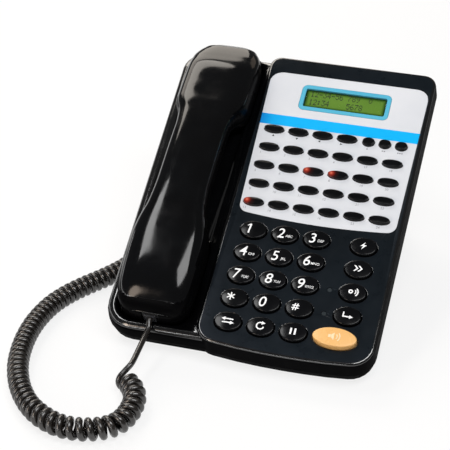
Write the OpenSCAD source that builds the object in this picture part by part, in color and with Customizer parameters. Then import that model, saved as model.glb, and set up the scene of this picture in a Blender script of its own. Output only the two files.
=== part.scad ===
/* [Body] */
// Slope of the console face above the table, degrees
slope = 24.5; // [22:0.5:27]
// Width of the cradle deck, from its left edge to the console
deck_w = 58.7; // [57:0.5:62]
// Distance from the top line-key row back to the console's rear edge
console_back = 60; // [58:0.5:64]
// Distance from the top line-key row to the console's front corners
console_front = 158; // [156:0.5:162]
// How far the console's front edge bows out between its corners
front_bow = 3.2; // [2:0.2:4]
// Width of the console at its rear edge
console_w = 112.6; // [112:0.5:114]
// How much each side draws in towards the front
side_taper = 1.6; // [1:0.2:2]
// Height of the console face above the cradle deck
deck_step = 2.5; // [2:0.1:3]
// How far the deck stops short of the console at the back
deck_back_gap = 3; // [2:0.5:4]
// Thickness of the housing walls
wall = 2.5; // [2.2:0.1:2.8]
// Depth of the upper housing from the console face to the parting line
upper_depth = 12; // [11.5:0.1:12.5]
// Depth of the lower housing's lip below the parting line
lip_depth = 4.5; // [4:0.1:5]
// Width of the groove along the parting line
parting_gap = 0.3; // [0.2:0.05:0.5]
// Rounding of the console's top edge
console_edge_r = 2; // [1.5:0.1:2.4]
// Rounding of the deck's top edge
deck_edge_r = 4; // [3:0.1:4.5]
// How far the lip stands back from the upper housing's sides
lip_side = 1.3; // [0.8:0.1:2]
// How far the wedge under the body stands back from the lip
wedge_inset = 20; // [18:0.5:22]
// Thickness of the wedge's walls and floor
wedge_wall = 2.4; // [2.2:0.1:3]

/* [Feet] */
// Radius of a rubber foot
foot_r = 6; // [5:0.5:6.5]
// Height of the housing floor above the table
foot_stand = 2; // [1.5:0.1:2.5]
// Depth of the recess that holds a foot
foot_recess = 1; // [0.8:0.1:1.2]

/* [Face panel] */
// Thickness of the printed face panel
panel_t = 0.6; // [0.4:0.1:0.7]
// Width of the face panel at its rear edge
panel_w = 105.5; // [104:0.5:106]
// Rear edge of the face panel, from the top line-key row
panel_back = 46.5; // [45:0.5:48]
// Front edge of the face panel, from the top line-key row
panel_front = 65; // [64:0.5:66]
// Width of the display surround
surround_w = 59; // [58:0.5:60]
// Depth of the display surround along the slope
surround_d = 20.1; // [19.5:0.1:21]
// Width of the visible display
window_w = 53.7; // [53:0.1:54.5]
// Depth of the visible display along the slope
window_d = 14.6; // [14:0.1:15.2]
// Display centre, from the top line-key row
display_y = 28.7; // [28:0.1:29.5]

/* [Keys] */
// Line-key pitch across the face
line_pitch_x = 16; // [15.6:0.1:16.3]
// Line-key pitch down the face
line_pitch_y = 14.25; // [14:0.05:14.4]
// Length of a line key
line_key_w = 12.9; // [12:0.1:13.4]
// Width of a line key
line_key_d = 5.8; // [5:0.1:6.4]
// Pitch of the three small keys in the top row
small_pitch = 10.56; // [10.4:0.02:10.8]
// Length of a small key
small_key_w = 7.6; // [7:0.1:8]
// Width of a small key
small_key_d = 6.4; // [6:0.1:7]
// Dial-key pitch across the face
dial_pitch_x = 20; // [19.8:0.1:20.3]
// Dial-key pitch down the face
dial_pitch_y = 16.4; // [16.2:0.05:16.6]
// Length of a dial key
dial_key_w = 16.5; // [15.5:0.1:16.8]
// Width of a dial key
dial_key_d = 12.3; // [11.5:0.1:12.6]
// Length of the hands-free key
talk_key_w = 26.5; // [25:0.1:27]
// How far a dial key stands above the console face
dial_rise = 2.2; // [1.8:0.1:2.8]
// How far a line key stands above the console face
line_rise = 1.8; // [1.4:0.1:2.2]
// How far the hands-free key stands above the console face
talk_rise = 4.6; // [4:0.1:5]
// Free gap all round a key in its hole
key_gap = 0.4; // [0.3:0.05:0.5]
// How far a key's flange reaches under the housing
key_flange = 1.1; // [0.9:0.05:1.2]
// Travel of a key
key_travel = 1.2; // [1:0.1:1.4]

/* [Handset] */
// Width of the ear and mouth blocks
block_w = 48; // [46:0.5:49]
// Width of the grip
grip_w = 34; // [32:0.5:36]
// Height of the handset's back above the console face
back_top = 26; // [25:0.5:28]
// Depth of the ear and mouth blocks below the console face
block_bottom = 10; // [9.5:0.1:10.2]
// Height of the grip's underside above the console face
grip_bottom = 9; // [8.5:0.1:10]
// Thickness of the handset shells
shell_t = 2.2; // [2:0.1:2.6]
// Radius of the receiver capsule
receiver_r = 16; // [14:0.5:17]
// Radius of the transmitter capsule
transmitter_r = 5; // [4.5:0.1:5.5]

/* [Cradle] */
// Free gap between the handset's blocks and the console
handset_gap = 2.05; // [1.5:0.05:3]
// Free gap round the handset's blocks in their wells
well_gap = 0.8; // [0.6:0.1:1.2]
// Travel of the hook plunger
hook_travel = 5.5; // [4:0.1:6]

/* [Cord] */
// Diameter of the cord
cord_d = 3.6; // [3.4:0.1:3.7]
// Outer diameter of the curls
curl_d = 13.2; // [12.8:0.1:13.6]
// Number of curls
curls = 72; // [71:1:74]
// Pitch of the stretched curls near the handset
open_pitch = 5.5; // [5.4:0.05:5.6]
// Number of stretched curls
open_curls = 18; // [17:1:19]

/* [Hidden] */
dial_names = ["key_1", "key_2", "key_3", "key_4", "key_5", "key_6", "key_7", "key_8", "key_9",
    "key_star", "key_0", "key_hash", "key_transfer", "key_redial", "key_hold"];
side_names = ["key_flash", "key_speed", "key_intercom", "key_trunk"];
row_names = ["line_keys_row_2", "line_keys_row_3", "line_keys_row_4", "line_keys_row_5"];

black = "#17181a";
key_black = "#101113";
cut = 1;
tiny = 0.01;
arc_steps = 6;

// Heights above the console face, along its normal
deck_h = -deck_step;
parting_h = -upper_depth;
lip_h = parting_h - lip_depth;
ceiling_h = -wall;
deck_ceiling_h = deck_h - wall;
panel_h = -0.2;
recess_h = panel_h - panel_t;

// Plan of the body, from the top line-key row; x is to the right, y up the slope
body_right = (console_w + deck_w) / 2;
console_left = body_right - console_w;
deck_front = console_front - 0.5;
deck_back = console_back - deck_back_gap;
deck_join = console_left + 12;
front_reach = console_front + front_bow;
console_mid = (body_right + console_left) / 2;
handset_x = handset_gap + block_w / 2 - console_left;

// The frame: centre of the base on the table
slope_z = foot_stand + 1 + front_reach * sin(slope) - lip_h * cos(slope);
slope_y = (front_reach * cos(slope) - console_back * cos(slope) + lip_h * sin(slope)) / 2;

// Key places on the face
line_x0 = console_mid - 40.6;
option_x0 = line_x0 + 61.92;
dial_x0 = console_mid - 35.5;
dial_y0 = -77.8;
side_x = console_mid + 33.8;
talk_x = console_mid + 29.7;
lamp_x = console_mid + 19.6;
flange_top = ceiling_h - 0.4;
flange_bottom = flange_top - 1;
key_foot = flange_bottom - 1.1;
mat_top = key_foot;
board_h = -9;
board_t = 1.6;
board_back = console_back - 12;
board_front = console_front - 7;
mat_sheet = 0.8;
mat_rim = 9;

// The wells and the trough of the cradle
well_floor = -block_bottom - 0.5;
well_wall = 2;
trough_floor = deck_h - 3.5;
ear_well = [-5, 55];
mouth_well = [-151, -86];
hook_y = 15;
hook_board_w = 32;
hook_board_d = 24;
hook_board_x = -handset_x + hook_board_w / 4;
hook_drop = 18;
hook_board_h = well_floor - well_wall - hook_drop;
wedge_left = hook_board_x - hook_board_w / 2 - wedge_wall - 2.25;

// Screws through the lower housing into posts of the upper one
screw_r = 1.5;
screw_head_r = 3;
post_r = 3.5;
post_gap = 0.7;
screw_places = [[-body_right + 7.65, -20], [-body_right + 7.65, -72], [console_left + 5.3, 10 - console_front],
    [console_left + 5.8, console_back - 7.5], [body_right - 8, console_back - 8],
    [body_right - 10.5, 9 - console_front]];
board_places = [[console_mid - 42, 30], [console_mid + 41, 30], [console_mid - 44.5, -66.5],
    [console_mid + 44.5, -66.5], [console_mid - 47.3, -118], [console_mid + 46.6, -110]];

// Jacks and plugs, on the floor of the wedge
plug_w = 7.6;
plug_h = 6.4;
plug_l = 14;
plug_gap = 0.15;
floor_top = foot_stand + wedge_wall;
jack_z = floor_top + 5.2;
handset_jack_x = wedge_left + 1.2;
handset_jack_y = 46;
line_jack_x = -30;
speaker_at = [22, 22];
speaker_r = 28;

function unit(v) = v / norm(v);
function left(v) = [-v.y, v.x];
function turned(v, a) = [v.x * cos(a) - v.y * sin(a), v.x * sin(a) + v.y * cos(a)];
function turn(a, b) = atan2(a.x * b.y - a.y * b.x, a * b);
function flat(p) = [p.x, p.y];

// One rounded corner at b, between a and c
function corner_arc(a, b, c, r, n) = let (d = unit(b - a), e = unit(c - b), t = turn(d, e),
    start = b - d * r * tan(t / 2), middle = start + left(d) * r)
    r <= 0 ? [b] : [for (i = [0:n]) middle - turned(left(d), t * i / n) * r];

// An outline from corners [x, y, radius], anticlockwise
function rounded(k, n = arc_steps) = let (m = len(k)) [for (i = [0:m - 1])
    each corner_arc(flat(k[(i + m - 1) % m]), flat(k[i]), flat(k[(i + 1) % m]), k[i][2], n)];

// The same corners with every edge moved in by d
function inset(k, d) = let (m = len(k)) [for (i = [0:m - 1])
    let (b = flat(k[i]), p = left(unit(b - flat(k[(i + m - 1) % m]))),
        q = left(unit(flat(k[(i + 1) % m]) - b)), s = b + (p + q) * d / (1 + p * q))
    [s.x, s.y, k[i][2] > 0 ? max(k[i][2] - d, 0.4) : 0]];

function box_corners(w, d, r, x = 0, y = 0) = [[x - w / 2, y + d / 2, r], [x - w / 2, y - d / 2, r],
    [x + w / 2, y - d / 2, r], [x + w / 2, y + d / 2, r]];

function oval(w, d, n = 24) = [for (i = [0:n - 1]) [w / 2 * cos(360 * i / n), d / 2 * sin(360 * i / n)]];

function lifted(outline, h) = [for (p = outline) [p.x, p.y, h]];

function deck_corners(side = 0) = [[-body_right + side, deck_back - side, 14],
    [-body_right + side_taper + side, -deck_front, 18], [deck_join, -deck_front, 0],
    [deck_join, deck_back - side, 0]];

function bow_point(t) = let (l = console_left + side_taper, r = body_right - side_taper)
    [l + (r - l) * t, -console_front - front_bow * 4 * t * (1 - t), 0];

function console_corners(side = 0) = concat([[console_left, console_back - side, 8],
    [console_left + side_taper, -console_front, 13]], [for (i = [2:6]) bow_point(i / 8)],
    [[body_right - side_taper - side, -console_front, 15], [body_right - side, console_back - side, 9]]);

// A closed solid through rings of points, each ring anticlockwise seen from its far end
module loft(rings) {
    n = len(rings[0]);
    m = len(rings);
    polyhedron(points = [for (r = rings) each r], faces = concat(
        [[for (j = [0:n - 1]) j]],
        [[for (j = [n - 1:-1:0]) (m - 1) * n + j]],
        [for (i = [0:m - 2]) for (j = [0:n - 1]) [i * n + j, (i + 1) * n + j, (i + 1) * n + (j + 1) % n]],
        [for (i = [0:m - 2]) for (j = [0:n - 1]) [i * n + j, (i + 1) * n + (j + 1) % n, i * n + (j + 1) % n]]));
}

// Rings of a block whose walls lean in by draft and whose top edge is rounded
function edged(k, low, high, r, draft, n = 3) = concat([lifted(rounded(inset(k, 0)), low)],
    [for (i = [0:n]) lifted(rounded(inset(k, draft + r * (1 - cos(90 * i / n)))), high - r + r * sin(90 * i / n))]);

module on_slope() {
    translate([0, slope_y, slope_z]) rotate([slope, 0, 0]) children();
}

module slab(outline, low, high) {
    translate([0, 0, low]) linear_extrude(high - low) polygon(outline);
}

// Plan outline of the handset's blocks where they pass the deck
function well_corners(span, grow) = box_corners(block_w - 2.4 + 2 * well_gap + 2 * grow,
    span[1] - span[0] + 2 * grow, 11 + grow, -handset_x, (span[0] + span[1]) / 2);

function trough_corners(grow) = box_corners(grip_w + 8 + 2 * grow, 90 + 2 * grow, 3 + grow,
    -handset_x, (ear_well[0] + mouth_well[1]) / 2);

module cradle_walls() {
    slab(rounded(well_corners(ear_well, well_wall)), well_floor - well_wall, deck_h - 0.5);
    slab(rounded(well_corners(mouth_well, well_wall)), well_floor - well_wall, deck_h - 0.5);
    slab(rounded(trough_corners(well_wall)), trough_floor - well_wall, deck_h - 0.5);
}

module cradle_hollows() {
    slab(rounded(well_corners(ear_well, 0)), well_floor, cut);
    slab(rounded(well_corners(mouth_well, 0)), well_floor, cut);
    slab(rounded(trough_corners(0)), trough_floor, cut);
}

function panel_corners(grow = 0) = let (x = panel_w / 2) inset([[console_mid - x, panel_back, 8],
    [console_mid - x + 4.1, -panel_front, 6], [console_mid + x - 2.2, -panel_front, 6],
    [console_mid + x, panel_back, 8]], -grow);

module at_line_keys(rows) {
    for (r = rows) for (i = [0:r == 0 ? 3 : 5])
        translate([line_x0 + i * line_pitch_x, -r * line_pitch_y, 0]) children();
}

module at_option_keys() {
    for (i = [0:2]) translate([option_x0 + i * small_pitch, 0, 0]) children();
}

module at_dial_key(i) {
    translate([dial_x0 + (i % 3) * dial_pitch_x, dial_y0 - floor(i / 3) * dial_pitch_y, 0]) children();
}

module at_side_key(i) {
    translate([side_x, dial_y0 - i * dial_pitch_y, 0]) children();
}

module at_talk_key() {
    translate([talk_x, dial_y0 - 4 * dial_pitch_y, 0]) children();
}

module key_cuts(gap, low, high) {
    at_line_keys([0:4]) slab(oval(line_key_w + 2 * gap, line_key_d + 2 * gap), low, high);
    at_option_keys() slab(oval(small_key_w + 2 * gap, small_key_d + 2 * gap), low, high);
    for (i = [0:14]) at_dial_key(i) slab(oval(dial_key_w + 2 * gap, dial_key_d + 2 * gap, 28), low, high);
    for (i = [0:3]) at_side_key(i) slab(oval(dial_key_w + 2 * gap, dial_key_d + 2 * gap, 28), low, high);
    at_talk_key() slab(oval(talk_key_w + 2 * gap, dial_key_d + 2 * gap, 32), low, high);
}

module at_indicators() {
    for (i = [2, 3]) translate([lamp_x, dial_y0 - i * dial_pitch_y, 0]) children();
}

module upper_housing() {
    color(black) on_slope() difference() {
        union() {
            difference() {
                union() {
                    loft(edged(deck_corners(), parting_h, deck_h, deck_edge_r, 0.4));
                    loft(edged(console_corners(), parting_h, 0, console_edge_r, 0.6));
                }
                slab(rounded(inset(console_corners(), wall + 0.6)), parting_h - cut, ceiling_h);
                slab(rounded(inset(deck_corners(), wall + 0.6)), parting_h - cut, deck_ceiling_h);
            }
            cradle_walls();
            for (p = screw_places) translate([p.x, p.y, parting_h])
                cylinder(r = post_r, h = (p.x < console_left ? deck_h - 1 : -1.5) - parting_h, $fn = 32);
            for (p = board_places) translate([p.x, p.y, board_h]) cylinder(r = 2.5, h = -board_h - 1.5, $fn = 24);
            for (p = board_places) translate([p.x, p.y, board_h - board_t - 0.8]) cylinder(r = 1.2, h = 4, $fn = 24);
            for (s = [-1, 1]) translate([hook_board_x + s * (hook_board_w / 2 - 3), hook_y - 8, hook_board_h])
                cylinder(r = 2.5, h = hook_drop + 1, $fn = 24);
        }
        cradle_hollows();
        slab(rounded(panel_corners(0.2)), recess_h, cut);
        slab(rounded(box_corners(surround_w + 0.4, surround_d + 0.4, 3.7, console_mid, display_y)),
            ceiling_h - cut, cut);
        key_cuts(key_gap, ceiling_h - cut, cut);
        at_indicators() translate([0, 0, ceiling_h - cut]) cylinder(r = 1.6, h = wall + 2 * cut, $fn = 24);
        for (p = screw_places) translate([p.x, p.y, parting_h - cut])
            cylinder(r = screw_r + 0.05, h = 5.6 + cut, $fn = 24);
        translate([-handset_x, hook_y, well_floor - well_wall / 2]) cube([10.8, 6.8, 4], center = true);
    }
}

module wedge(inside) {
    in = wedge_inset + (inside ? wedge_wall : 0);
    low = foot_stand + (inside ? wedge_wall : 0);
    left_in = wedge_left - (inside ? -wedge_wall : 0);
    top = [[left_in, console_back - in - 2, 5], [left_in, -console_front + in + 3, 5],
        [body_right - in, -console_front + in + 3, 5], [body_right - in, console_back - in - 2, 5]];
    y0 = slope_y + (-console_front + in + 3) * cos(slope) - lip_h * sin(slope);
    y1 = slope_y + (console_back - in - 2) * cos(slope) - lip_h * sin(slope);
    bottom = [[left_in + 2, y1 - 4, 5], [left_in + 2, y0 + 2, 5],
        [body_right - in - 2, y0 + 2, 5], [body_right - in - 2, y1 - 4, 5]];
    hull() {
        on_slope() slab(rounded(top, 3), lip_h + 0.8, lip_h + (inside ? 3 : 1.6));
        slab(rounded(bottom, 3), low, low + 0.5);
    }
}

front_edge_y = slope_y - front_reach * cos(slope) - lip_h * sin(slope);
wedge_back_y = slope_y + (console_back - wedge_inset - 2) * cos(slope) - lip_h * sin(slope);
front_feet = [[-body_right + 19.65, front_edge_y + 15.2], [body_right - 19.65, front_edge_y + 15.2]];
rear_feet = [[wedge_left + 13.65, wedge_back_y - 18], [body_right - wedge_inset - 13.65, wedge_back_y - 18]];

module keyhole() {
    translate([0, 0, foot_stand - cut]) cylinder(r = 4.2, h = wedge_wall + 2 * cut, $fn = 32);
    translate([0, 5, foot_stand - cut]) cylinder(r = 2.2, h = wedge_wall + 2 * cut, $fn = 32);
    translate([-2.2, 0, foot_stand - cut]) cube([4.4, 5, wedge_wall + 2 * cut]);
}

module lower_housing() {
    color(black) difference() {
        union() {
            difference() {
                union() {
                    on_slope() slab(rounded(deck_corners(lip_side)), lip_h, parting_h - parting_gap);
                    on_slope() slab(rounded(console_corners(lip_side)), lip_h, parting_h - parting_gap);
                }
                on_slope() slab(rounded(inset(console_corners(lip_side), wall)), lip_h + 2, cut);
                on_slope() slab(rounded(inset(deck_corners(lip_side), wall)), lip_h + 2, cut);
                for (span = [ear_well, mouth_well]) on_slope()
                    slab(rounded(well_corners(span, well_wall + parting_gap)), well_floor - well_wall - parting_gap, cut);
            }
            wedge(false);
            for (p = front_feet) difference() {
                translate([p.x, p.y, foot_stand]) cylinder(r = foot_r + 1.5, h = 14, $fn = 40);
                on_slope() slab(rounded(box_corners(400, 400, 1)), lip_h + 1, 100);
            }
            for (p = screw_places) on_slope() translate([p.x, p.y, lip_h + 1])
                cylinder(r = post_r + post_gap, h = lip_depth - parting_gap - 1, $fn = 32);
        }
        wedge(true);
        for (p = concat(front_feet, rear_feet)) translate([p.x, p.y, foot_stand - cut])
            cylinder(r = foot_r + 0.2, h = foot_recess + cut, $fn = 40);
        for (p = screw_places) on_slope() translate([p.x, p.y, lip_h - cut]) {
            cylinder(r = screw_r + 0.2, h = 6, $fn = 32);
            cylinder(r = screw_head_r + 0.2, h = 1.8 + cut, $fn = 32);
        }
        for (y = [-50, 41]) translate([-20, y, 0]) keyhole();
        translate([speaker_at.x, speaker_at.y, foot_stand - cut]) for (i = [-3:3]) for (j = [-3:3])
            if (norm([i, j]) < 3.3) translate([i * 6.5, j * 6.5, 0]) cylinder(r = 1.6, h = wedge_wall + 2 * cut, $fn = 16);
        translate([wedge_left - 2, handset_jack_y, jack_z])
            cube([16, plug_w + 3.4, plug_h + 3.4], center = true);
        translate([line_jack_x, wedge_back_y, jack_z]) cube([13.4, 26, 10.3], center = true);
    }
}

module rubber_feet() {
    color("#0c0c0c") for (p = concat(front_feet, rear_feet)) translate([p.x, p.y, 0])
        cylinder(r = foot_r, h = foot_stand + foot_recess, $fn = 40);
}

module base_screws() {
    color("silver") on_slope() for (p = screw_places) translate([p.x, p.y, lip_h]) {
        cylinder(r = screw_head_r, h = 1.8, $fn = 32);
        translate([0, 0, 1]) cylinder(r = screw_r, h = 9, $fn = 24);
    }
}

module face_panel() {
    color("#e3e4ea") on_slope() difference() {
        slab(rounded(panel_corners()), recess_h, panel_h);
        slab(rounded(box_corners(surround_w + 0.4, surround_d + 0.4, 3.7, console_mid, display_y)),
            recess_h - cut, cut);
        at_line_keys([0:4]) slab(oval(line_key_w + 2 * key_gap, line_key_d + 2 * key_gap), recess_h - cut, cut);
        at_option_keys() slab(oval(small_key_w + 2 * key_gap, small_key_d + 2 * key_gap), recess_h - cut, cut);
    }
}

module display_surround() {
    color("#6cc7da") on_slope() difference() {
        union() {
            slab(rounded(box_corners(surround_w, surround_d, 3.5, console_mid, display_y)), ceiling_h - 0.3, -0.1);
            slab(rounded(box_corners(surround_w + 3, surround_d + 3, 3.5, console_mid, display_y)),
                ceiling_h - 1, ceiling_h - 0.2);
        }
        slab(rounded(box_corners(window_w, window_d, 1.2, console_mid, display_y)), -1.5, cut);
        slab(rounded(box_corners(window_w - 2, window_d - 2, 1, console_mid, display_y)), ceiling_h - 2, cut);
    }
}

module display_window() {
    color("#b8d8b0", 0.4) on_slope()
        slab(rounded(box_corners(window_w - 0.3, window_d - 0.3, 1.1, console_mid, display_y)), -1.5, -0.6);
}

module display_panel() {
    color("#6b9a3c") on_slope()
        slab(rounded(box_corners(surround_w, surround_d, 1, console_mid, display_y)), ceiling_h - 2.6, ceiling_h - 1.1);
}

module display_holder() {
    color("#d9d9d4") on_slope() difference() {
        slab(rounded(box_corners(surround_w + 3, surround_d + 3, 2, console_mid, display_y)), board_h, ceiling_h - 1.6);
        slab(rounded(box_corners(surround_w + 0.3, surround_d + 0.3, 1, console_mid, display_y)), ceiling_h - 2.6, cut);
        slab(rounded(box_corners(surround_w - 4, surround_d - 4, 1, console_mid, display_y)), board_h - cut, board_h + 2);
    }
}

module main_board() {
    color("#2e5d34") on_slope() difference() {
        slab(rounded([[console_left + 3.6, board_back, 2], [console_left + 3.6, -board_front, 2],
            [body_right - 7, -board_front, 14], [body_right - 6, board_back, 2]]), board_h - board_t, board_h);
        for (p = board_places) translate([p.x, p.y, board_h - board_t - cut]) cylinder(r = 1.35, h = board_t + 2 * cut, $fn = 24);
        for (p = screw_places) translate([p.x, p.y, board_h - board_t - cut])
            cylinder(r = post_r + post_gap, h = board_t + 2 * cut, $fn = 32);
    }
}

module line_key_mat() {
    color("#c9c9c4") on_slope() difference() {
        union() {
            slab(rounded([[line_x0 - 8.6, 5.5, 2], [line_x0 - 8.6, -4 * line_pitch_y - 5, 2],
                [line_x0 + 5 * line_pitch_x + 8, -4 * line_pitch_y - 5, 2], [line_x0 + 5 * line_pitch_x + 8, 5.5, 2]]),
                board_h, board_h + mat_sheet);
            at_line_keys([0:4]) slab(oval(5, 3.6, 12), board_h, mat_top);
            at_option_keys() slab(oval(4, 3.6, 12), board_h, mat_top);
        }
        at_line_keys([1:4]) translate([-4.6, 0, board_h]) cube([2.2, 2, 6], center = true);
    }
}

module dial_key_mat() {
    color("#c9c9c4") on_slope() difference() {
        union() {
            slab(rounded([[dial_x0 - mat_rim, dial_y0 + mat_rim - 1.6, 2],
                [dial_x0 - mat_rim, dial_y0 - 4 * dial_pitch_y - mat_rim + 2, 2],
                [side_x + mat_rim + 0.6, dial_y0 - 4 * dial_pitch_y - mat_rim + 2, 2],
                [side_x + mat_rim + 0.6, dial_y0 + mat_rim - 1.6, 2]]), board_h, board_h + mat_sheet);
            for (i = [0:14]) at_dial_key(i) slab(oval(8, 6, 16), board_h, mat_top);
            for (i = [0:3]) at_side_key(i) slab(oval(8, 6, 16), board_h, mat_top);
            at_talk_key() slab(oval(12, 6, 16), board_h, mat_top);
        }
        at_indicators() translate([0, 0, board_h - cut]) cylinder(r = 1.9, h = 4, $fn = 16);
        for (p = screw_places) translate([p.x, p.y, board_h - cut])
            cylinder(r = post_r + post_gap, h = mat_sheet + 2 * cut, $fn = 32);
    }
}

module line_lamps() {
    color("#d2322b") on_slope() at_line_keys([1:4]) translate([-4.6, 0, board_h + 0.7]) cube([1.6, 1.4, 1.4], center = true);
}

module indicator_lamps() {
    color("#40464a") on_slope() at_indicators() {
        translate([0, 0, board_h]) cylinder(r = 1.4, h = -board_h - 0.3, $fn = 24);
    }
}

// Speaker with its frame, cone and magnet, face down on the floor
module speaker() {
    color("#3a3a3c") translate([speaker_at.x, speaker_at.y, floor_top]) rotate_extrude($fn = 64)
        polygon([[speaker_r - 4, 0], [speaker_r, 0], [speaker_r, 2], [speaker_r - 3, 3.2], [13, 10], [13, 16], [0, 16],
            [0, 7], [6, 7]]);
}

module hook_plunger() {
    top = -block_bottom - 0.3;
    flange = well_floor - well_wall - hook_travel - 0.6;
    color("#1b1c1e") on_slope() translate([-handset_x, hook_y, 0]) {
        slab(rounded(box_corners(10, 6, 1.2), 3), flange - 1, top);
        slab(rounded(box_corners(14, 9, 1), 3), flange - 1.4, flange);
    }
}

module hook_board() {
    color("#2e5d34") on_slope() translate([hook_board_x, hook_y - 1, 0])
        slab(rounded(box_corners(hook_board_w, hook_board_d, 1.5), 2), hook_board_h - board_t, hook_board_h);
}

module hook_switch() {
    color("#1f2a44") on_slope() translate([-handset_x + 9, hook_y + 5.6, hook_board_h + 5]) cube([8, 4.4, 10], center = true);
}

// Hook spring: a coil with flat ends between the board and the plunger's flange
spring_r = 3.2;
spring_turns = 5;
spring_wire = 0.8;
spring_low = hook_board_h + spring_wire / 2 + 0.05;
spring_high = well_floor - well_wall - hook_travel - 2 - spring_wire / 2 - 0.05;
spring_path = [for (i = [0:spring_turns * 8]) [spring_r * cos(45 * i), spring_r * sin(45 * i),
    spring_low + (spring_high - spring_low) * i / (spring_turns * 8)]];

function away(path, i) = let (m = len(path) - 1) unit(path[min(i + 1, m)] - path[max(i - 1, 0)]);

// Rings of a round tube along a path; side points away from the turn of the path
function tube(path, r, sides, out) = [for (i = [0:len(path) - 1]) let (t = away(path, i),
    n = unit(out[i] - t * (out[i] * t)), b = cross(t, n))
    [for (j = [0:sides - 1]) path[i] + r * (n * cos(360 * j / sides) + b * sin(360 * j / sides))]];

module hook_spring() {
    color("silver") on_slope() translate([-handset_x, hook_y, 0])
        loft(tube(spring_path, spring_wire / 2, 6, [for (p = spring_path) [p.x, p.y, 0]]));
}

module jack(w, h, l) {
    difference() {
        translate([0, -w / 2 - 1.5, -h / 2 - 1.5]) cube([l + 2, w + 3, h + 3]);
        translate([-cut, -w / 2, -h / 2]) cube([l + cut, w, h]);
    }
}

module handset_jack() {
    color("#26272a") translate([handset_jack_x, handset_jack_y, jack_z])
        jack(plug_w + 2 * plug_gap, plug_h + 2 * plug_gap, plug_l - 3);
}

line_jack_y = wedge_back_y - 4;

module line_jack() {
    color("#26272a") translate([line_jack_x, line_jack_y, jack_z]) rotate([0, 0, -90]) jack(10, 7, 12);
}

// Keys: an oval cap with a low crown, a flange under the housing and a foot over the mat
module key(w, d, rise, crown) {
    intersection() {
        slab(oval(w, d, w > 20 ? 32 : 28), key_foot, rise + cut);
        translate([0, 0, rise - crown]) sphere(r = crown, $fn = 96);
    }
    slab(oval(w + 2 * key_flange, d + 2 * key_flange), flange_bottom, flange_top);
}

module low_key(w, d) {
    intersection() {
        slab(oval(w, d), key_foot, line_rise + cut);
        translate([0, 0, line_rise - 7]) rotate([0, 90, 0]) cylinder(r = 7, h = 20, center = true, $fn = 96);
    }
    slab(oval(w + 2 * key_flange, d + 2 * key_flange), flange_bottom, flange_top);
}

module line_row(r) {
    color(key_black) on_slope() at_line_keys([r]) low_key(line_key_w, line_key_d);
}

module option_keys() {
    color(key_black) on_slope() at_option_keys() low_key(small_key_w, small_key_d);
}

module dial_key(i) {
    color(key_black) on_slope() at_dial_key(i) key(dial_key_w, dial_key_d, dial_rise, 45);
}

module side_key(i) {
    color(key_black) on_slope() at_side_key(i) key(dial_key_w, dial_key_d, dial_rise, 45);
}

module key_handsfree() {
    color("#f5b45a") on_slope() at_talk_key() key(talk_key_w, dial_key_d, talk_rise, 90);
}

// Handset stations from the mouth end to the ear end:
// place along the slope, half width, back, underside, height of the parting line
blk = block_w / 2;
grp = grip_w / 2;
block_end = ear_well[1] - well_gap;
stations = [
    [-149, blk - 10, 6, -5, 0], [-148, blk - 7, 8.6, -7.4, 0.4], [-145.5, blk - 4, 12, -block_bottom + 1, 1],
    [-141, blk - 1.6, 15.4, -block_bottom, 2], [-134, blk - 0.4, 18.4, -block_bottom, 2.5],
    [-120, blk, back_top - 4.4, -block_bottom, 3], [-104, blk, back_top - 2.2, -block_bottom, 3.4],
    [-95, blk - 1, back_top - 1.4, -block_bottom + 0.6, 4.6], [-88, blk - 2.8, back_top - 0.9, -block_bottom + 4.5, 7],
    [-82, blk - 4.8, back_top - 0.5, 3.5, 10], [-74, grp + 0.8, back_top - 0.2, grip_bottom - 1.4, 13],
    [-62, grp, back_top, grip_bottom, 14], [-42, grp, back_top, grip_bottom, 14],
    [-22, grp, back_top - 0.9, grip_bottom, 13.6], [-13, grp + 0.8, back_top - 1.6, grip_bottom - 2, 12],
    [-7, blk - 4.6, back_top - 2.2, 1.5, 9], [-1, blk - 1.6, back_top - 2.8, -block_bottom + 4, 5.5],
    [5, blk - 0.2, back_top - 3.6, -block_bottom + 0.4, 3.6], [16, blk, back_top - 4.8, -block_bottom, 3],
    [32, blk, back_top - 6.8, -block_bottom, 2.5], [42, blk - 0.6, 15.6, -block_bottom, 2.2],
    [49, blk - 3, 12.6, -block_bottom + 0.5, 1.6], [51.8, blk - 4.8, 11.3, -block_bottom + 0.9, 1.2],
    [block_end - 0.8, blk - 5.8, 10.5, -block_bottom + 1.6, 1], [block_end, blk - 6.4, 10, deck_h + 0.6, 0.9],
    [57, blk - 10, 7, deck_h + 0.9, 0.4]];
mouth_end = stations[0][0];
ear_end = stations[len(stations) - 1][0];
half_points = 14;

// Boxy half oval from the left side over to the right, above or below the parting height
function half_ring(s, t, up) = let (w = s[1] - t, h = (up ? s[2] - s[4] : s[4] - s[3]) - t,
    e = up ? 0.62 : 0.42, drawn = up ? 0 : 1.8, side = up ? 1 : -1)
    [for (i = [0:half_points]) let (a = 180 * i / half_points, c = cos(a), x = sign(c) * pow(abs(c), e),
        z = pow(max(sin(a), 0), e), past = t > 0 && (i == 0 || i == half_points) ? -1 : z * h)
        [-handset_x - side * x * (w - drawn * z), s[0], s[4] + side * past]];

// Half of the handset, t inside its outer skin
module handset_half(t, up) {
    loft([for (s = stations) if (t == 0 || (s[0] > mouth_end + t && s[0] < block_end - t)) half_ring(s, t, up)]);
}

handset_screw_places = [48.4, -100];
receiver_y = 27;
receiver_h = -6.6;
transmitter_y = -130;
weight_ribs = [-58, -30];
weight_h = 14;
weight_t = 6;
weight_w = 16;
weight_l = 44;
socket_h = 0.8;
socket_outer = [plug_w + 3.3, plug_h + 3.1];
socket_l = 13;
plug_out = 1.5;

module on_handset(y = 0, h = 0) {
    on_slope() translate([-handset_x, y, h]) children();
}

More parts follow.
